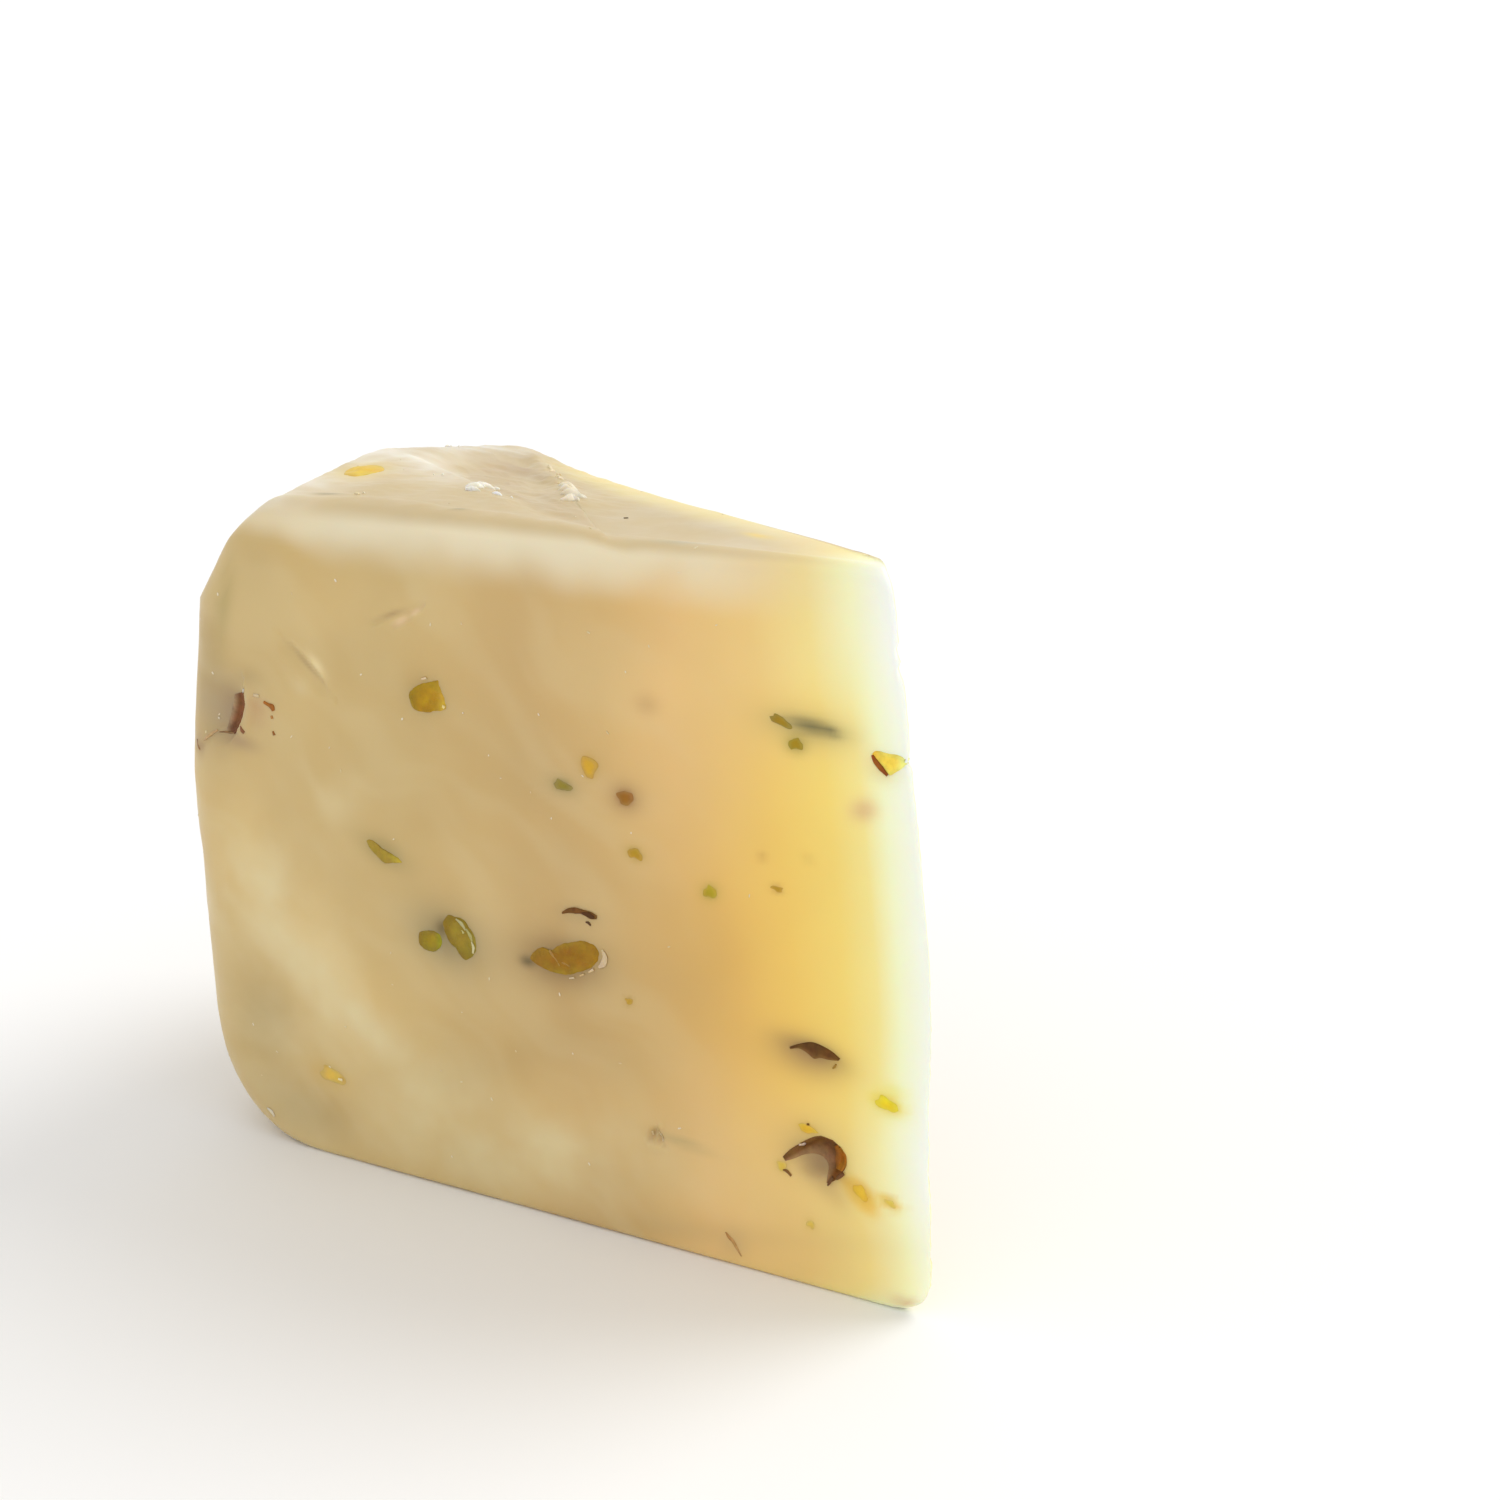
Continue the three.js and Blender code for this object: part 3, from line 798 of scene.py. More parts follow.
# Each nut: its solid, its outline round a place in the face, the colours of its middle, rim, left end and
# right end, and the stains that it leaves in the paste: place, size, turn, colour and strength
cut_nuts = [
    {
        "node": "pistachio_kernel", "at": (54.8, 36.3), "thickness": 3.0,
        "corners": [
            (-5.3, -0.6), (-4.7, 0.2), (-3.5, 1.0), (-2.2, 0.75), (-0.8, 1.8), (0.6, 2.4), (2.4, 3.0),
            (3.9, 3.0), (4.8, 2.6), (5.2, 1.8), (5.0, 0.9), (4.2, -0.1), (2.8, -1.0), (1.2, -1.7),
            (-0.2, -2.1), (-1.6, -2.1), (-2.9, -1.9), (-4.1, -1.5), (-5.0, -1.1),
        ],
        "tints": [(154, 106, 10), (160, 124, 26), (152, 112, 22), (160, 118, 14)],
        "stains": [
            ((54.2, 36.0), (16, 9), 5, (138, 106, 60), 0.9),
            ((49.3, 35.1), (2.8, 1.8), 0, (100, 84, 44), 0.85),
        ],
    },
    {
        "node": "pistachio_long", "at": (38.7, 36.3), "thickness": 2.8,
        "corners": [
            (-2.1, 2.3), (-1.4, 2.9), (-0.6, 2.9), (0.3, 2.8), (1.0, 2.5), (1.7, 1.7), (2.4, 0.9),
            (2.7, -0.2), (2.7, -1.3), (2.1, -2.2), (1.0, -2.9), (0.1, -2.5), (-0.6, -1.8), (-1.4, -1.1),
            (-2.1, -0.1), (-2.5, 1.3),
        ],
        "tints": [(156, 132, 34), (140, 116, 24), (142, 112, 18), (154, 136, 44)],
        "stains": [
            ((37.0, 36.0), (14, 10), -10, (146, 130, 90), 0.85),
            ((36.2, 37.2), (3.4, 2.4), 60, (112, 94, 46), 0.85),
        ],
    },
    {
        "node": "pistachio_round", "at": (34.0, 35.0), "thickness": 2.2,
        "corners": [
            (-1.8, 0.1), (-1.4, 1.0), (-0.4, 1.4), (0.8, 1.5), (1.7, 1.1), (2.0, 0.4), (1.8, -0.5),
            (1.1, -1.2), (0.1, -1.5), (-0.9, -1.3), (-1.6, -0.8),
        ],
        "tints": [(160, 138, 18), (144, 122, 36), (142, 112, 26), (150, 142, 20)],
        "stains": [],
    },
    {
        "node": "pistachio_sliver", "at": (27.4, 46.2), "thickness": 2.0,
        "corners": [
            (-2.7, 1.0), (-1.7, 1.2), (-0.3, 0.3), (1.3, -0.3), (2.8, -0.9), (2.3, -1.3), (1.0, -1.5),
            (0.1, -1.7), (-1.2, -1.0), (-2.3, -0.1),
        ],
        "tints": [(172, 146, 44), (160, 134, 46), (168, 140, 46), (190, 166, 50)],
        "stains": [((27.4, 46.2), (9.5, 4.6), -19, (160, 140, 84), 0.65)],
    },
    {
        "node": "pistachio_cube", "at": (35.1, 68.0), "thickness": 2.6,
        "corners": [
            (-2.4, -0.3), (-2.0, 0.4), (-1.1, 1.0), (0.6, 1.6), (2.2, 2.1), (2.45, 1.3), (3.1, -0.1),
            (3.4, -1.2), (3.0, -1.7), (0.8, -2.2), (-1.1, -2.3), (-2.1, -1.7),
        ],
        "tints": [(180, 138, 10), (170, 130, 14), (156, 124, 18), (208, 168, 52)],
        "stains": [((35.1, 68), (8, 6.6), 0, (170, 138, 78), 0.6)],
    },
    {
        "node": "pistachio_tip", "at": (97.4, 67.4), "thickness": 1.6,
        "corners": [
            (-1.5, 0.8), (-1.0, 1.3), (0.3, 1.2), (1.9, 1.1), (2.7, 0.6), (2.2, -0.3), (1.3, -0.9),
            (0.7, -1.3), (-0.3, -0.5), (-1.1, 0.1),
        ],
        "tints": [(250, 220, 78), (246, 224, 100), (242, 190, 60), (246, 246, 140)],
        "stains": [((97.2, 66.6), (5, 3.6), -20, (232, 204, 128), 0.55)],
    },
]
for piece in cut_nuts:
    for mark in piece["stains"]:
        stain_shade_and_light(*mark)
    part = nut(piece["corners"], piece["at"], piece["thickness"], piece["tints"], len(piece["node"]))
    build(piece["node"].replace("pistachio", "nut"), [part], cut_flesh, piece["node"])

# Buried nuts
# Pieces that lie just under the skin of the paste, so that only an end of them shows, blurred and yellow.
# The paste over them is stained by what shines through it.
buried_reach = 1.4
buried_proud = 0.35
buried_flesh = tinted_material("buried_pistachio", 0.08, 0.3, 0.45, 600.0, 0.00005, 0.4, 0.2)


def pebble(width, high, turn, seed, uneven=1.0):
    """Corners of a small uneven oval."""
    corner_count = 9
    c, s = math.cos(math.radians(turn)), math.sin(math.radians(turn))
    corners = []
    for i in range(corner_count):
        angle = 2 * math.pi * i / corner_count
        reach = 1 + uneven * (0.18 * math.sin(3 * angle + seed) + 0.1 * math.sin(5 * angle + 2 * seed))
        along, across = reach * width / 2 * math.cos(angle), reach * high / 2 * math.sin(angle)
        corners.append((along * c - across * s, along * s + across * c))
    return corners


# Each nut: its solid, the ends of it that show (place, size, turn, colour of the middle and of the blurred
# rim), and its stains (place, size, turn, colour, strength and how sharp their edge is)
buried_nuts = [
    {
        "node": "pistachio_sunk",
        "ends": [
            ((84.6, 70.6), (3.0, 1.1), -24, (164, 132, 20), (160, 138, 56)),
            ((86.6, 68.2), (1.9, 1.4), 0, (168, 136, 14), (172, 148, 48)),
        ],
        "stains": [
            ((88.0, 70.2), (14, 5.6), -4, (186, 166, 104), 0.6),
            ((88.4, 70.5), (8, 2.2), -5, (112, 104, 58), 0.9),
            ((91.0, 70.2), (2.6, 1.1), -14, (84, 82, 50), 0.7),
            ((86.6, 68.2), (3.4, 2.6), 0, (176, 152, 56), 0.8),
        ],
    },
    {
        "node": "pistachio_low_left",
        "ends": [((16.5, 12.2), (4.6, 2.3), -10, (232, 190, 84), (214, 180, 100))],
        "stains": [((16.6, 12.2), (8.5, 4.6), -8, (212, 174, 92), 0.7)],
    },
    {
        "node": "pistachio_low_right",
        "ends": [((98.5, 26.4), (3.0, 1.7), -14, (246, 216, 36), (242, 218, 62))],
        "stains": [
            ((98.6, 26.5), (4.8, 2.6), -14, (243, 216, 48), 0.95, 2),
            ((98.6, 26.8), (7, 4.8), -14, (242, 228, 120), 0.5),
            ((99.3, 28.3), (3.8, 2.4), 0, (242, 230, 104), 0.5),
        ],
    },
    {
        "node": "pistachio_foot",
        "ends": [((95.4, 14.3), (2.4, 1.5), -50, (238, 188, 56), (234, 184, 62))],
        "stains": [
            ((95.5, 14.0), (6.6, 3.6), -42, (240, 196, 72), 0.95, 2),
            ((93.6, 15.3), (3.0, 1.6), -40, (236, 190, 74), 0.8),
            ((99.2, 14.1), (4.0, 2.0), -20, (238, 206, 92), 0.85, 2),
        ],
    },
]
for piece in buried_nuts:
    for mark in piece["stains"]:
        stain_shade_and_light(*mark)
    parts = []
    for i, (at, size, turn, middle, rim) in enumerate(piece["ends"]):
        corners = pebble(*size, turn, i + 2)
        tints = [middle, rim, rim, rim]
        parts.append(nut(corners, at, buried_reach, tints, i + 3, proud=buried_proud))
    build(piece["node"].replace("pistachio", "nut"), parts, buried_flesh, piece["node"])

# The piece in the top lies in the paste by the rind
top_tints = [(230, 190, 26), (222, 184, 56), (224, 184, 50), (230, 196, 76)]
stain_shade_and_light((11, 20.4), (9, 12), 24, (228, 198, 100), 0.85, 1, "top")
top_nut = nut(pebble(5.4, 6.8, 24, 1, 0.3), (11, 20.6), 2.0, top_tints, 7, "top", 0.12, 0.6)
build("nut_top", [top_nut], buried_flesh, "pistachio_top")

# Nut crumbs
# Broken grains of nut, one to three millimetres long, that shine through the skin of the paste.
# Each crumb: place, size, turn and colour, then size, colour and strength of its halo
crumb_reach = 0.8
crumbs = [
    ((63.9, 58.6), (1.9, 1.4), 0, (156, 100, 22), (5.5, 4.6), (170, 126, 74), 0.8),
    ((58.9, 61.8), (1.9, 2.2), 10, (214, 166, 46), (4.2, 3.8), (198, 156, 86), 0.5),
    ((55.1, 58.9), (2.1, 1.0), -8, (152, 132, 46), (5.2, 3.0), (158, 138, 86), 0.6),
    ((65.2, 51.8), (1.7, 1.1), -14, (186, 150, 32), (4.4, 2.6), (200, 160, 76), 0.65),
    ((75.5, 48.7), (1.5, 1.2), 20, (182, 158, 28), (3.4, 2.8), (200, 166, 66), 0.7),
    ((84.3, 50.6), (1.3, 0.5), -6, (192, 148, 40), (2.4, 1.4), (214, 166, 74), 0.6),
    ((64.1, 32.6), (0.9, 0.7), 0, (198, 160, 54), (2.0, 1.6), (204, 166, 86), 0.5),
    ((88.5, 21.1), (2.0, 0.9), -8, (230, 186, 48), (3.6, 2.4), (232, 190, 84), 0.8),
    ((85.1, 15.4), (1.0, 1.1), 30, (226, 190, 80), (2.4, 2.4), (226, 192, 108), 0.7),
    ((89.0, 8.5), (0.9, 0.8), -40, (228, 190, 84), (2.4, 2.0), (226, 194, 110), 0.6),
    ((99.3, 14.0), (1.3, 0.6), -26, (238, 204, 88), (2.4, 1.6), (238, 208, 110), 0.6),
]
crumb_parts = []
for i, (at, size, turn, tint, halo, halo_tint, strength) in enumerate(crumbs):
    stain_shade_and_light(at, halo, turn, halo_tint, strength)
    stain_shade_and_light(at, (size[0] * 1.35, size[1] * 1.5), turn, tint, 0.75, 2)
    rim = tuple((a + 2 * b) / 3 for a, b in zip(tint, halo_tint))
    corners = pebble(size[0] * 1.25, size[1] * 1.25, turn, i)
    tints = [tint, rim, rim, rim]
    crumb_parts.append(nut(corners, at, crumb_reach, tints, i + 11, proud=buried_proud))
build("nut_crumbs", crumb_parts, buried_flesh)

# Faint stains of nuts that lie deeper
for mark in [
    ((95.1, 61.7), (4.4, 3.2), 20, (222, 180, 128), 0.7),
    ((67.1, 70.5), (4.0, 3.0), 0, (196, 154, 98), 0.45),
    ((82.4, 54.2), (1.7, 1.4), 0, (212, 164, 76), 0.6),
    ((88.3, 54.9), (2.4, 1.6), -20, (226, 188, 92), 0.4),
    ((101.8, 1.4), (5, 2.4), 0, (206, 160, 110), 0.6), ((92.0, 13.4), (7, 4), -40, (206, 168, 100), 0.4),
]:
    stain_shade_and_light(*mark)

# Seed skins
# Thin brown skins that came off the kernels: shreds that lie in the face, and one that still lines its bed.
skin_finish = tinted_material("seed_skin", 0.22, 0.3, 0.55, 1100.0, 0.0001, 0.05, 0.15)


def shred(corners, widths, tint, proud=0.06, thickness=0.14, side="front", end_tint=None):
    """A thin strip along a curve through corner points. widths are its width at the corners."""
    middle = through(corners, 5, closed=False)
    t = np.linspace(0, 1, len(middle))
    width = np.interp(t, np.linspace(0, 1, len(widths)), widths)
    run = np.gradient(middle, axis=0)
    run /= np.linalg.norm(run, axis=1)[:, None]
    across = np.column_stack([-run[:, 1], run[:, 0]])
    sections = 8
    rings = []
    for j in range(sections):
        angle = 2 * math.pi * j / sections
        places = middle + across * (width / 2 * math.cos(angle))[:, None]
        rings.append(settle(places, -proud - thickness / 2 * math.sin(angle), side))
    points = np.stack(rings, 1).reshape(-1, 3)
    faces = []
    for i in range(len(middle) - 1):
        for j in range(sections):
            low, high = i * sections, (i + 1) * sections
            following = (j + 1) % sections
            faces.append((low + j, low + following, high + following, high + j))
    last = (len(middle) - 1) * sections
    faces.append(tuple(reversed(range(sections))))
    faces.append(tuple(range(last, last + sections)))
    start, end = np.array(paint(*tint)), np.array(paint(*(end_tint or tint)))
    colours = np.repeat(start + (end - start) * t[:, None], sections, axis=0)
    return points, faces, colours


def lining(outer, inner, tints, thickness=0.2, proud=0.14):
    """A skin that covers the paste between two curves.

    tints are the colours at its two ends, and at its inner edge, where paste shines through it; there the
    colour also holds painted shade.
    """
    steps, rows = 56, 12
    spread = np.linspace(0, 1, steps)
    edges = []
    for corners in (outer, inner):
        curve = through(corners, 6, closed=False)
        t = np.linspace(0, 1, len(curve))
        edges.append(np.column_stack([np.interp(spread, t, curve[:, k]) for k in range(2)]))
    fronts, backs = [], []
    for row in range(rows):
        share = row / (rows - 1)
        places = edges[0] * (1 - share) + edges[1] * share
        edge_dip = proud * 1.6 * (1 if row in (0, rows - 1) else 0)
        fronts.append(settle(places, -proud + edge_dip))
        backs.append(settle(places, -proud + edge_dip + thickness))
    points = np.concatenate([*fronts, *backs])
    back = rows * steps
    faces = []
    for row in range(rows - 1):
        for i in range(steps - 1):
            a, b = row * steps + i, (row + 1) * steps + i
            faces.append((a, a + 1, b + 1, b))
            faces.append((back + a, back + b, back + b + 1, back + a + 1))
    for i in range(steps - 1):
        top, low = i, (rows - 1) * steps + i
        faces.append((top, back + top, back + top + 1, top + 1))
        faces.append((low, low + 1, back + low + 1, back + low))
    for row in range(rows - 1):
        a, b = row * steps, (row + 1) * steps
        faces.append((a, b, back + b, back + a))
        faces.append((a + steps - 1, back + a + steps - 1, back + b + steps - 1, b + steps - 1))
    t = np.tile(spread, 2 * rows)
    inwards = np.tile(np.repeat(np.linspace(0, 1, rows), steps), 2)
    start, end, thin = (np.array(paint(*tint)) for tint in tints)
    colours = start + (end - start) * smooth(t, 0.55, 0.8)[:, None]
    colours += (thin - colours) * smooth(inwards, 0.5, 1)[:, None]
    return points, faces, colours


bed_inner = [
    (85.7, 16.2), (86.6, 16.6), (87.7, 17.1), (88.9, 17.2), (90.0, 16.8), (90.7, 16.2), (91.0, 15.4),
    (91.1, 14.7),
]
split_inner = [(3.2, 64.0), (2.6, 62.1), (1.9, 60.4), (1.5, 58.9)]
skins = [
    lining(bed_wall, bed_inner, [(118, 78, 36), (118, 68, 18), (160, 122, 84)]),
    lining([(92.9, 19.7), (93.6, 18.8), (93.7, 17.7), (93.3, 16.8)],
           [(91.2, 18.8), (91.4, 18.0), (91.4, 17.2), (91.9, 16.4)],
           [(168, 102, 20), (172, 108, 30), (138, 84, 30)], proud=0.36),
    lining([(86.1, 31.2), (87.5, 31.9), (89.0, 32.4), (90.3, 32.2), (91.6, 31.7), (92.6, 31.0)],
           [(86.2, 30.9), (87.3, 31.2), (88.3, 30.8), (89.2, 30.2), (90.0, 30.5), (91.2, 30.5),
            (92.4, 30.7)],
           [(96, 62, 22), (104, 66, 20), (134, 96, 48)]),
    lining(split, split_inner, [(126, 74, 34), (106, 62, 32), (166, 136, 104)]),
    shred([(92.4, 15.5), (92.9, 16.0), (93.4, 16.5)], [0.3, 0.5, 0.4], (112, 74, 42), 0.2),
    shred([(91.3, 14.4), (91.6, 15.0), (91.9, 15.6)], [0.2, 0.45, 0.4], (112, 76, 46), 0.2),
    shred([(85.3, 14.95), (85.8, 14.9), (86.4, 14.4)], [0.2, 0.45, 0.3], (128, 88, 44)),
    shred([(88.45, 21.7), (88.75, 21.75)], [0.25, 0.3], (120, 80, 30)),
    shred([(54.7, 42.5), (55.6, 42.95), (56.6, 43.15), (57.6, 43.15), (58.8, 42.9), (59.7, 42.8)],
          [0.25, 0.6, 0.8, 0.6, 0.95, 0.5], (116, 76, 30), 0.1),
    shred([(57.6, 43.0), (58.6, 42.95), (59.4, 42.7)], [0.3, 0.7, 0.4], (84, 50, 22), 0.16),
    shred([(58.1, 41.9), (58.5, 41.85), (58.8, 41.55)], [0.2, 0.4, 0.2], (96, 68, 42)),
    shred([(91.7, 29.6), (91.9, 29.8), (92.1, 30.2)], [0.2, 0.3, 0.2], (150, 112, 44)),
    shred([(77.4, 4.5), (77.9, 3.9), (78.4, 3.5), (79.0, 2.6), (79.6, 1.7)], [0.2, 0.5, 0.5, 0.4, 0.15],
          (186, 134, 76), 0.0, end_tint=(196, 152, 100)),
    shred([(3.4, 59.0), (2.4, 58.7), (1.4, 58.7), (0.4, 58.6)], [0.5, 0.3, 0.3, 0.1], (146, 110, 74), 0.02),
    shred([(4.9, 60.2), (5.1, 59.7), (5.5, 59.3)], [0.2, 0.6, 0.6], (138, 92, 60), 0.02),
    shred([(9.1, 63.9), (9.9, 63.6), (10.4, 63.4), (10.6, 62.9)], [0.4, 0.5, 0.9, 0.5], (164, 98, 36)),
    shred([(10.2, 62.2), (10.3, 61.8)], [0.4, 0.4], (178, 126, 66), 0.02),
    shred([(10.3, 60.1), (10.5, 59.6)], [0.3, 0.5], (148, 92, 44), 0.02),
    shred([(-3.9, 57.0), (-3.8, 56.2), (-3.5, 55.6)], [0.3, 0.6, 0.3], (156, 116, 74), 0.0),
    shred([(96.0, 68.2), (96.4, 67.5), (97.1, 66.8), (97.9, 66.1)], [0.3, 0.6, 0.65, 0.3],
          (150, 76, 24), 0.16),
    shred([(54.6, 16.4), (54.9, 16.8)], [0.4, 0.4], (110, 92, 56), side="top"),
]
build("seed_skins", skins, skin_finish)

# Stains round the skins, painted shade in the lost piece's bed, stains and painted shade in the broken
# corner, painted shade and painted highlights along the creases and nicks, and a faint olive streak by the
# rind
for mark in [
    # Painted shade in the lost piece's bed, darkest under its wall
    ((89.7, 17.2), (5.6, 4.4), -18, (122, 88, 56), 0.9),
    ((89.9, 16.8), (8, 6.5), -30, (170, 138, 100), 0.7),
    ((88.8, 19.0), (13, 9), 10, (208, 172, 104), 0.45), ((57, 42.6), (8, 3.4), 0, (172, 146, 98), 0.45),
    ((88.8, 31.0), (9, 3.4), -10, (122, 88, 52), 0.85),
    ((88.2, 30.3), (12, 6.6), -6, (178, 140, 84), 0.7),
    ((78.6, 3.2), (4.5, 5), -40, (204, 172, 120), 0.4), ((2.6, 61.8), (5, 8.5), -12, (154, 122, 90), 0.8),
    ((-0.2, 62), (10, 11), 0, (176, 156, 122), 0.6), ((-3.4, 56.4), (3, 4), 0, (156, 120, 82), 0.6),
    ((7.8, 63.2), (5, 3.6), -10, (194, 152, 106), 0.6),
    ((4.6, 57.9), (7.5, 2.8), -6, (166, 136, 100), 0.6),
    ((6.6, 67.0), (6, 3.4), 0, (178, 152, 100), 0.45), ((7.6, 61.2), (4, 3.6), 0, (194, 158, 112), 0.4),
    # The low nick: painted shade in its pit and a painted shadow streak beside it
    ((67.6, 15.2), (4, 3), 0, (196, 164, 112), 0.4), ((71.5, 15.3), (9, 1.6), -6, (180, 160, 108), 0.5),
    # The crease and the nick above: painted shade in their lines and painted highlights on their flanks
    ((16.6, 69.7), (7, 0.8), -41, (170, 140, 92), 0.6),
    ((18.3, 69.9), (4, 1.7), -48, (238, 218, 166), 0.75),
    ((15.7, 66.8), (4, 3), 20, (214, 192, 140), 0.5), ((30.8, 77.8), (5, 0.8), 20, (180, 146, 98), 0.6),
    ((32.1, 77.0), (3.2, 1.2), 28, (234, 202, 156), 0.8),
    ((34.5, 78.4), (2, 0.9), 24, (234, 202, 156), 0.8),
    ((3.4, 76.9), (14, 3.2), 75, (172, 152, 92), 0.55),
]:
    stain_shade_and_light(*mark)

# Marks in the top
for mark in [
    ((15.6, 7.4), (4, 2), 12, (150, 134, 92), 0.7), ((38.0, 5.0), (2.6, 1.2), 8, (156, 144, 108), 0.6),
    ((69.8, 3.7), (9, 2.2), 6, (178, 168, 134), 0.6), ((75.8, 11.5), (5, 2.2), -30, (240, 208, 92), 0.9),
]:
    stain_shade_and_light(*mark, 1, "top")

# Paste flakes
# Loose flakes and lips of paler paste that the wire pulled up, on the top and round the cut nuts.
# On the top they lie in small heaps of grains. A few white bits among them are painted glints.
flake_finish = tinted_material("pale_flakes", 0.06, 0.2, 0.4, 700.0, 0.00008, 0.3, 0.5)
white, cream, amber = (240, 234, 218), (226, 210, 172), (216, 188, 146)


def heap(start, end, count, grain, tint, seed):
    """Grains of paste heaped along a line on the top."""
    grains = []
    for i in range(count):
        t = (i + 0.5) / count + 0.3 / count * math.sin(5.1 * i + seed)
        angle = 2.4 * i + seed
        aside = 0.5 * grain * np.array([math.cos(angle), math.sin(angle)])
        place = np.add(start, np.subtract(end, start) * t) + aside * abs(math.sin(1.7 * i + seed))
        wide = grain * (0.45 + 0.8 * math.sin(2.3 * i + seed) ** 2)
        corners = pebble(1.2 * wide, (0.55 + 0.3 * math.sin(3.1 * i) ** 2) * wide, 137 * i, seed + i)
        grains.append(nut(corners, place, 0.5, [tint] * 4, seed + i, "top", 0.22 * wide))
    return grains


flakes = [
    shred([(59.8, 36.2), (60.5, 36.9), (60.8, 37.8), (60.4, 38.7)], [0.3, 0.95, 0.7, 0.3], amber, 0.1),
    shred([(58.3, 35.3), (59.0, 35.8)], [0.2, 0.35], (222, 192, 148), 0.1),
    shred([(57.0, 34.6), (57.6, 34.9)], [0.2, 0.25], (214, 180, 130), 0.08),
    shred([(55.5, 34.0), (56.2, 34.2)], [0.2, 0.25], (226, 200, 160), 0.08),
    shred([(52.5, 37.1), (52.9, 36.6), (53.6, 35.9), (54.0, 35.3)], [0.3, 0.45, 0.4, 0.2],
          (178, 132, 46), 0.09, 0.12),
    shred([(53.6, 35.9), (54.6, 35.8), (55.5, 35.5)], [0.3, 0.3, 0.2], (172, 126, 40), 0.09, 0.12),
    shred([(38.4, 38.8), (39.2, 38.3), (39.8, 37.5)], [0.2, 0.6, 0.25], (190, 180, 124), 0.11),
    shred([(39.9, 37.7), (40.5, 36.9), (40.8, 36.1)], [0.3, 0.6, 0.25], (182, 170, 100), 0.11),
    shred([(40.7, 36.1), (41.0, 35.4), (40.9, 34.6)], [0.2, 0.5, 0.3], (214, 202, 148), 0.12),
    shred([(39.2, 37.4), (39.5, 37.0)], [0.2, 0.35], (196, 184, 112), 0.12),
    # A painted glint on the low left nut
    shred([(17.6, 12.0), (18.3, 12.0)], [0.3, 0.4], (248, 232, 178), 0.22),
    shred([(38.0, 66.9), (38.35, 66.7)], [0.4, 0.5], (238, 214, 140), 0.2),
    shred([(34.8, 69.9), (35.6, 70.15)], [0.25, 0.3], (226, 196, 156), 0.1),
    # A painted glint on the wall of the lost piece's bed
    shred([(87.5, 18.9), (87.9, 18.9), (88.2, 19.2)], [0.3, 0.45, 0.2], (214, 184, 160), 0.25),
    # A painted glint by the split
    shred([(5.4, 65.1), (5.75, 65.0)], [0.4, 0.7], white, 0.1),
    shred([(7.5, 64.7), (8.3, 64.6)], [0.4, 0.5], (222, 196, 150), 0.04),
    shred([(0.3, 60.4), (0.5, 60.6)], [0.4, 0.3], cream, 0.05),
    shred([(0.3, 58.9), (-0.9, 58.2), (-2.2, 57.2)], [0.3, 0.5, 0.3], (196, 160, 106), 0.04),
    shred([(68.0, 15.9), (68.4, 15.2), (68.5, 14.7)], [0.2, 0.35, 0.2], (236, 216, 172), 0.1),
    shred([(66.9, 15.6), (66.9, 15.0)], [0.2, 0.2], (236, 216, 172), 0.1),
    # A painted glint low by the rind
    shred([(4.4, 4.6), (5.1, 4.2), (5.6, 3.6)], [0.3, 0.7, 0.3], (226, 212, 184), 0.06),
    *heap((31.9, 14.6), (30.6, 22.6), 9, 1.8, white, 1),
    # Two bright grains as a painted glint on the top
    *heap((36.2, 16.2), (37.4, 17.2), 2, 1.3, (250, 250, 248), 4),
    *heap((37.4, 30.0), (44.4, 21.8), 12, 2.2, (236, 224, 198), 2),
    *heap((24.0, 46.0), (36.0, 31.5), 8, 1.1, (224, 206, 168), 6),
    *heap((21.6, 21.4), (23.0, 22.4), 2, 0.7, white, 3),
    *heap((19.4, 8.5), (20.4, 9.4), 2, 0.6, cream, 5),
    *heap((4.9, 46.4), (6.4, 49.4), 3, 0.8, white, 8),
]
build("paste_flakes", flakes, flake_finish)

# Nuts in the far faces
# The same chopped nuts, crumbs and skins show in the back cut face and in the rind.
# They are spread evenly over those faces, sunk in the paste, with their cuts flush with its skin.
on_back = smooth(normals[:, 1], 0.45, 0.7) * (1 - smooth(x, 90, 96)) * smooth(x, 2, 8)
on_rind = smooth(-normals[:, 0], 0.6, 0.85) * smooth(y, 9, 15) * (1 - smooth(y, 58, 64))
store(paste_mesh, "far_faces", np.maximum(on_back, on_rind) * smooth(z, 7, 12) * (1 - smooth(z, 76, 82)))


def chip(name, ragged):
    """A small flat-topped piece about two millimetres across, with its top on z = 0."""
    around = 12
    rings = []
    for share, proud in [(0.5, 0.10), (0.85, 0.08), (1.0, -0.08), (0.9, -0.7), (0.5, -1.2)]:
        angle = np.arange(around) / around * 2 * math.pi
        reach = share * (1 + ragged * np.sin(2 * angle + 0.6) + 0.6 * ragged * np.sin(5 * angle))
        level = reach * np.array([np.cos(angle), np.sin(angle)])
        rings.append(np.column_stack([*level, np.full(around, proud)]))
    points = np.concatenate([*rings, [[0, 0, 0.11], [0, 0, -1.3]]])
    mesh = bpy.data.meshes.new(name)
    mesh.from_pydata(points * MM, [], closed_faces(around, len(rings)))
    mesh.shade_smooth()
    return add_object(name, mesh)


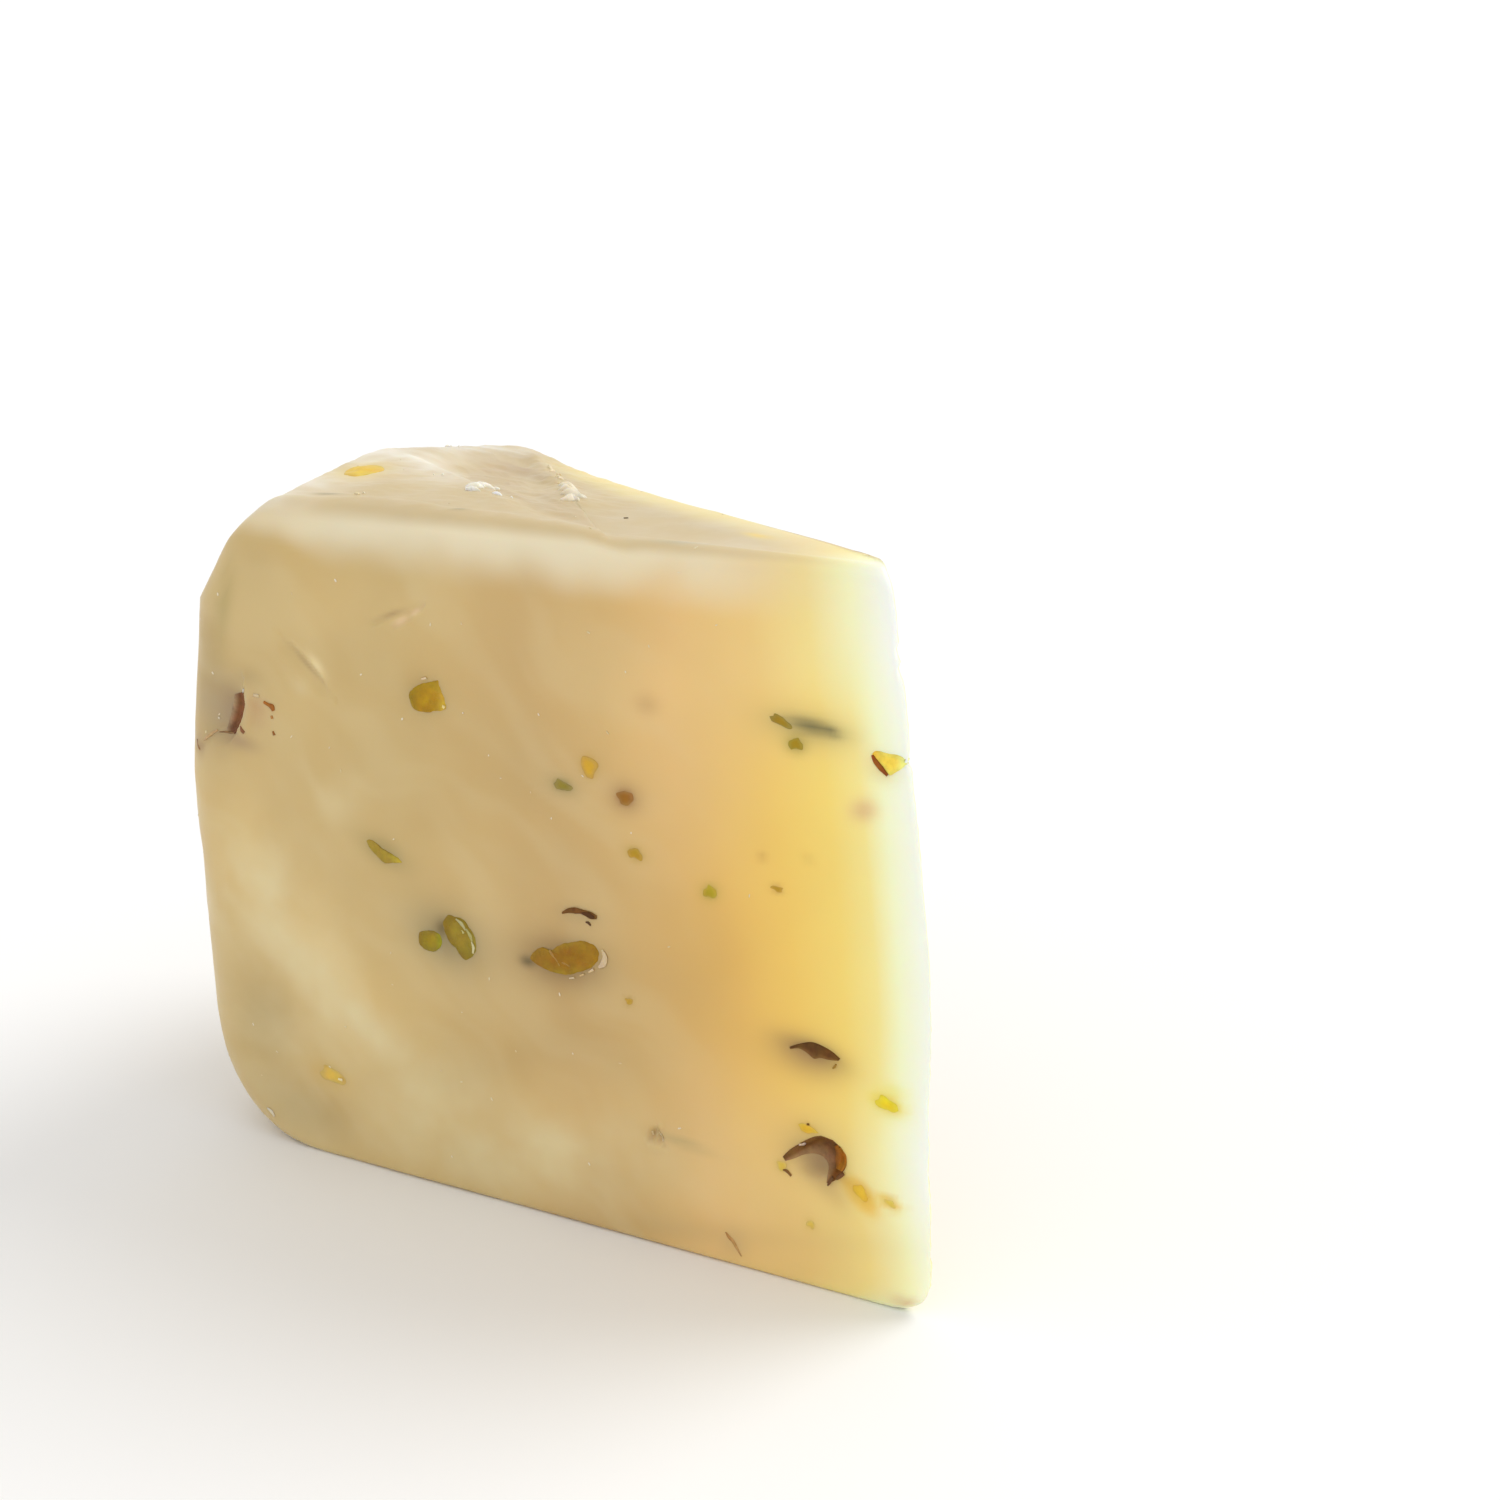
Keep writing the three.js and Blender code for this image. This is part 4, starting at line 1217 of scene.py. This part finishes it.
scatter = bpy.data.node_groups.new("scatter_on_paste", "GeometryNodeTree")
sockets = {}
for label, kind in [
    ("Geometry", "Geometry"), ("Shape", "Object"), ("Where", "String"), ("Per square metre", "Float"),
    ("Apart", "Float"), ("Smallest", "Vector"), ("Largest", "Vector"), ("First tint", "Color"),
    ("Second tint", "Color"), ("Ragged", "Float"), ("Seed", "Int"), ("Finish", "Material"),
]:
    socket = scatter.interface.new_socket(label, in_out="INPUT", socket_type="NodeSocket" + kind)
    sockets[label] = socket.identifier
scatter.interface.new_socket("Geometry", in_out="OUTPUT", socket_type="NodeSocketGeometry")
lay = Nodes(scatter)
given = lay.add("NodeGroupInput").outputs
where = lay.add("GeometryNodeInputNamedAttribute", {"Name": given["Where"]}, data_type="FLOAT")
spread = lay.add("GeometryNodeDistributePointsOnFaces", {
    "Mesh": given["Geometry"], "Distance Min": given["Apart"], "Density Max": given["Per square metre"],
    "Density Factor": where.outputs["Attribute"], "Seed": given["Seed"],
}, distribute_method="POISSON")
turned_by = lay.add("FunctionNodeRandomValue", {
    0: (0, 0, 0), 1: (0, 0, 2 * math.pi), "Seed": given["Seed"],
}, data_type="FLOAT_VECTOR")
facing = lay.add("FunctionNodeRotateRotation", {
    "Rotation": spread.outputs["Rotation"], "Rotate By": turned_by.outputs[0],
}, rotation_space="LOCAL")
grown_to = lay.add("FunctionNodeRandomValue", {
    0: given["Smallest"], 1: given["Largest"], "Seed": given["Seed"],
}, data_type="FLOAT_VECTOR")
shape_in = lay.add("GeometryNodeObjectInfo", {"Object": given["Shape"]})
placed = lay.add("GeometryNodeInstanceOnPoints", {
    "Points": spread.outputs["Points"], "Instance": shape_in.outputs["Geometry"],
    "Rotation": facing.outputs[0], "Scale": grown_to.outputs[0],
})
chance = lay.add("FunctionNodeRandomValue", {"Seed": given["Seed"]}, data_type="FLOAT")
tinted = lay.add("GeometryNodeStoreNamedAttribute", {
    "Geometry": placed.outputs["Instances"], "Name": "tint",
    "Value": lay.mix(chance.outputs[1], given["First tint"], given["Second tint"]),
}, data_type="FLOAT_COLOR", domain="INSTANCE")
real = lay.add("GeometryNodeRealizeInstances", {"Geometry": tinted.outputs["Geometry"]})
wobble = lay.add("ShaderNodeTexNoise", {"Scale": 420.0, "Detail": 2.0})
centred = lay.add("ShaderNodeVectorMath", {
    0: wobble.outputs["Color"], 1: (0.5, 0.5, 0.5),
}, operation="SUBTRACT")
offset = lay.add("ShaderNodeVectorMath", {
    0: centred.outputs[0], "Scale": given["Ragged"],
}, operation="SCALE")
bent = lay.add("GeometryNodeSetPosition", {"Geometry": real.outputs[0], "Offset": offset.outputs[0]})
finished = lay.add("GeometryNodeSetMaterial", {"Geometry": bent.outputs[0], "Material": given["Finish"]})
lay.add("NodeGroupOutput", {"Geometry": finished.outputs[0]})


def scatter_piece(name, settings):
    """One piece of small shapes spread over the paste, as plain mesh."""
    piece = add_object(name, paste_mesh.copy())
    modifier = piece.modifiers.new(name, "NODES")
    modifier.node_group = scatter
    for label, value in settings.items():
        modifier[sockets[label]] = value
    depsgraph = bpy.context.evaluated_depsgraph_get()
    mesh = bpy.data.meshes.new_from_object(
        piece.evaluated_get(depsgraph), preserve_all_data_layers=True, depsgraph=depsgraph
    )
    piece.modifiers.clear()
    carrier = piece.data
    piece.data = mesh
    bpy.data.meshes.remove(carrier)
    mesh.name = name
    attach(piece, "root")
    return mesh


nut_chip = chip("nut_chip", 0.14)
far_kinds = [
    ("far_nuts", "pistachio", {
        "Finish": cut_flesh, "Per square metre": 3600.0, "Apart": 0.0115, "Smallest": (1.1, 0.8, 0.9),
        "Largest": (2.9, 1.7, 1.1), "First tint": paint(158, 132, 30), "Second tint": paint(164, 112, 18),
        "Ragged": 0.0007, "Seed": 3,
    }),
    ("far_crumbs", "pistachio", {
        "Finish": buried_flesh, "Per square metre": 3800.0, "Apart": 0.010, "Smallest": (0.45, 0.35, 0.6),
        "Largest": (0.95, 0.7, 0.9), "First tint": paint(176, 150, 36), "Second tint": paint(214, 170, 60),
        "Ragged": 0.0004, "Seed": 8,
    }),
    ("far_skins", "pistachio_skin", {
        "Finish": skin_finish, "Per square metre": 1500.0, "Apart": 0.018, "Smallest": (1.4, 0.25, 0.5),
        "Largest": (2.8, 0.5, 0.6), "First tint": paint(112, 70, 32), "Second tint": paint(140, 88, 38),
        "Ragged": 0.0012, "Seed": 5,
    }),
]
halo_width = 1.6
halo_strength = 0.5
halo_tint = (170, 144, 90)
for name, slot, settings in far_kinds:
    far_mesh = scatter_piece(name, {"Shape": nut_chip, "Where": "far_faces", **settings})
    chips = (points_of(far_mesh) / MM - to_part).reshape(-1, len(nut_chip.data.vertices), 3)
    for corners in chips:
        reach = np.ptp(corners, axis=0).max() / 2 + halo_width
        away = np.linalg.norm(paste_points - corners.mean(0), axis=1) / reach
        soak(halo_strength * np.exp(-mark_falloff * away**2), halo_tint)
bpy.data.objects.remove(nut_chip)

# Curd grains
# Tiny moist grains of curd that the wire left all over the wedge, which catch the light; their paler tint
# is partly a painted glint.
store(paste_mesh, "everywhere", smooth(z, 1.5, 3) * (1 - smooth(x, 70, 86)))
grain_finish = tinted_material("curd_grain", 0.04, 0.15, 0.3, 900.0, 0.00003, 0.3, 0.6)
curd_chip = chip("curd_chip", 0.2)
scatter_piece("curd_grains", {
    "Shape": curd_chip, "Where": "everywhere", "Per square metre": 7000.0, "Apart": 0.003,
    "Smallest": (0.10, 0.07, 0.5), "Largest": (0.26, 0.16, 0.9), "First tint": paint(226, 202, 152),
    "Second tint": paint(246, 232, 200), "Ragged": 0.0001, "Seed": 12, "Finish": grain_finish,
})
bpy.data.objects.remove(curd_chip)

# All stains, painted shade and painted highlights together: their mixed colour, and how much of the paste's
# own colour they hide
mark_values = np.column_stack([mark_colour / mark_weight[:, None], 1 - unmarked])
store(paste_mesh, "stain_shade_and_light", mark_values)

# Floor
# A plain pale table top, smooth and matt, wide enough to fill every view.
# It isn't part of the wedge.
floor_half = 4.0
floor_mesh = bpy.data.meshes.new("floor")
floor_mesh.from_pydata(
    [(sx * floor_half, sy * floor_half, 0) for sx, sy in ((-1, -1), (1, -1), (1, 1), (-1, 1))],
    [],
    [(0, 1, 2, 3)],
)
floor = add_object("floor", floor_mesh)
floor_material = bpy.data.materials.new("pale_floor")
floor_material.use_nodes = True
floor_shader = floor_material.node_tree.nodes["Principled BSDF"]
floor_shader.inputs["Base Color"].default_value = (0.93, 0.93, 0.93, 1)
floor_shader.inputs["Roughness"].default_value = 0.8
floor_mesh.materials.append(floor_material)

# Light
# A white studio on all sides, with a soft high sun from behind on the tip's side.
# The studio looks a little brighter to the camera than its light is.
world = bpy.data.worlds.new("studio")
bpy.context.scene.world = world
world.use_nodes = True
studio = Nodes(world.node_tree)
sky = world.node_tree.nodes["Background"]
sky.inputs["Color"].default_value = (1, 1, 1, 1)
seen = studio.add("ShaderNodeLightPath").outputs["Is Camera Ray"]
sky_strength = studio.span(seen, 0.86, 1.1, 0, 1)
world.node_tree.links.new(sky_strength, sky.inputs["Strength"])

sun_direction = (-0.6, -0.75, -1.1)
sun_light = bpy.data.lights.new("window", "SUN")
sun_light.energy = 1.1
sun_light.angle = math.radians(35)
sun_light.color = (1, 0.99, 0.97)
sun = add_object("window", sun_light)
sun.rotation_euler = Vector(sun_direction).to_track_quat("-Z", "Y").to_euler()

# Camera
# It looks slightly down on the cut face from the tip's side, as in the photograph.
# Its place, aim and lens were worked out from the corners of that face.
looks_down = 15.82
turned_left = 27.6
focal_length = 47.16
camera_data = bpy.data.cameras.new("camera")
camera_data.sensor_width = 36
camera_data.lens = focal_length
camera = add_object("camera", camera_data)
camera.location = (0.1345, -0.2245, 0.1279)
camera.rotation_euler = (math.radians(90 - looks_down), 0, math.radians(turned_left))
bpy.context.scene.camera = camera
bpy.context.scene.view_settings.view_transform = "Standard"
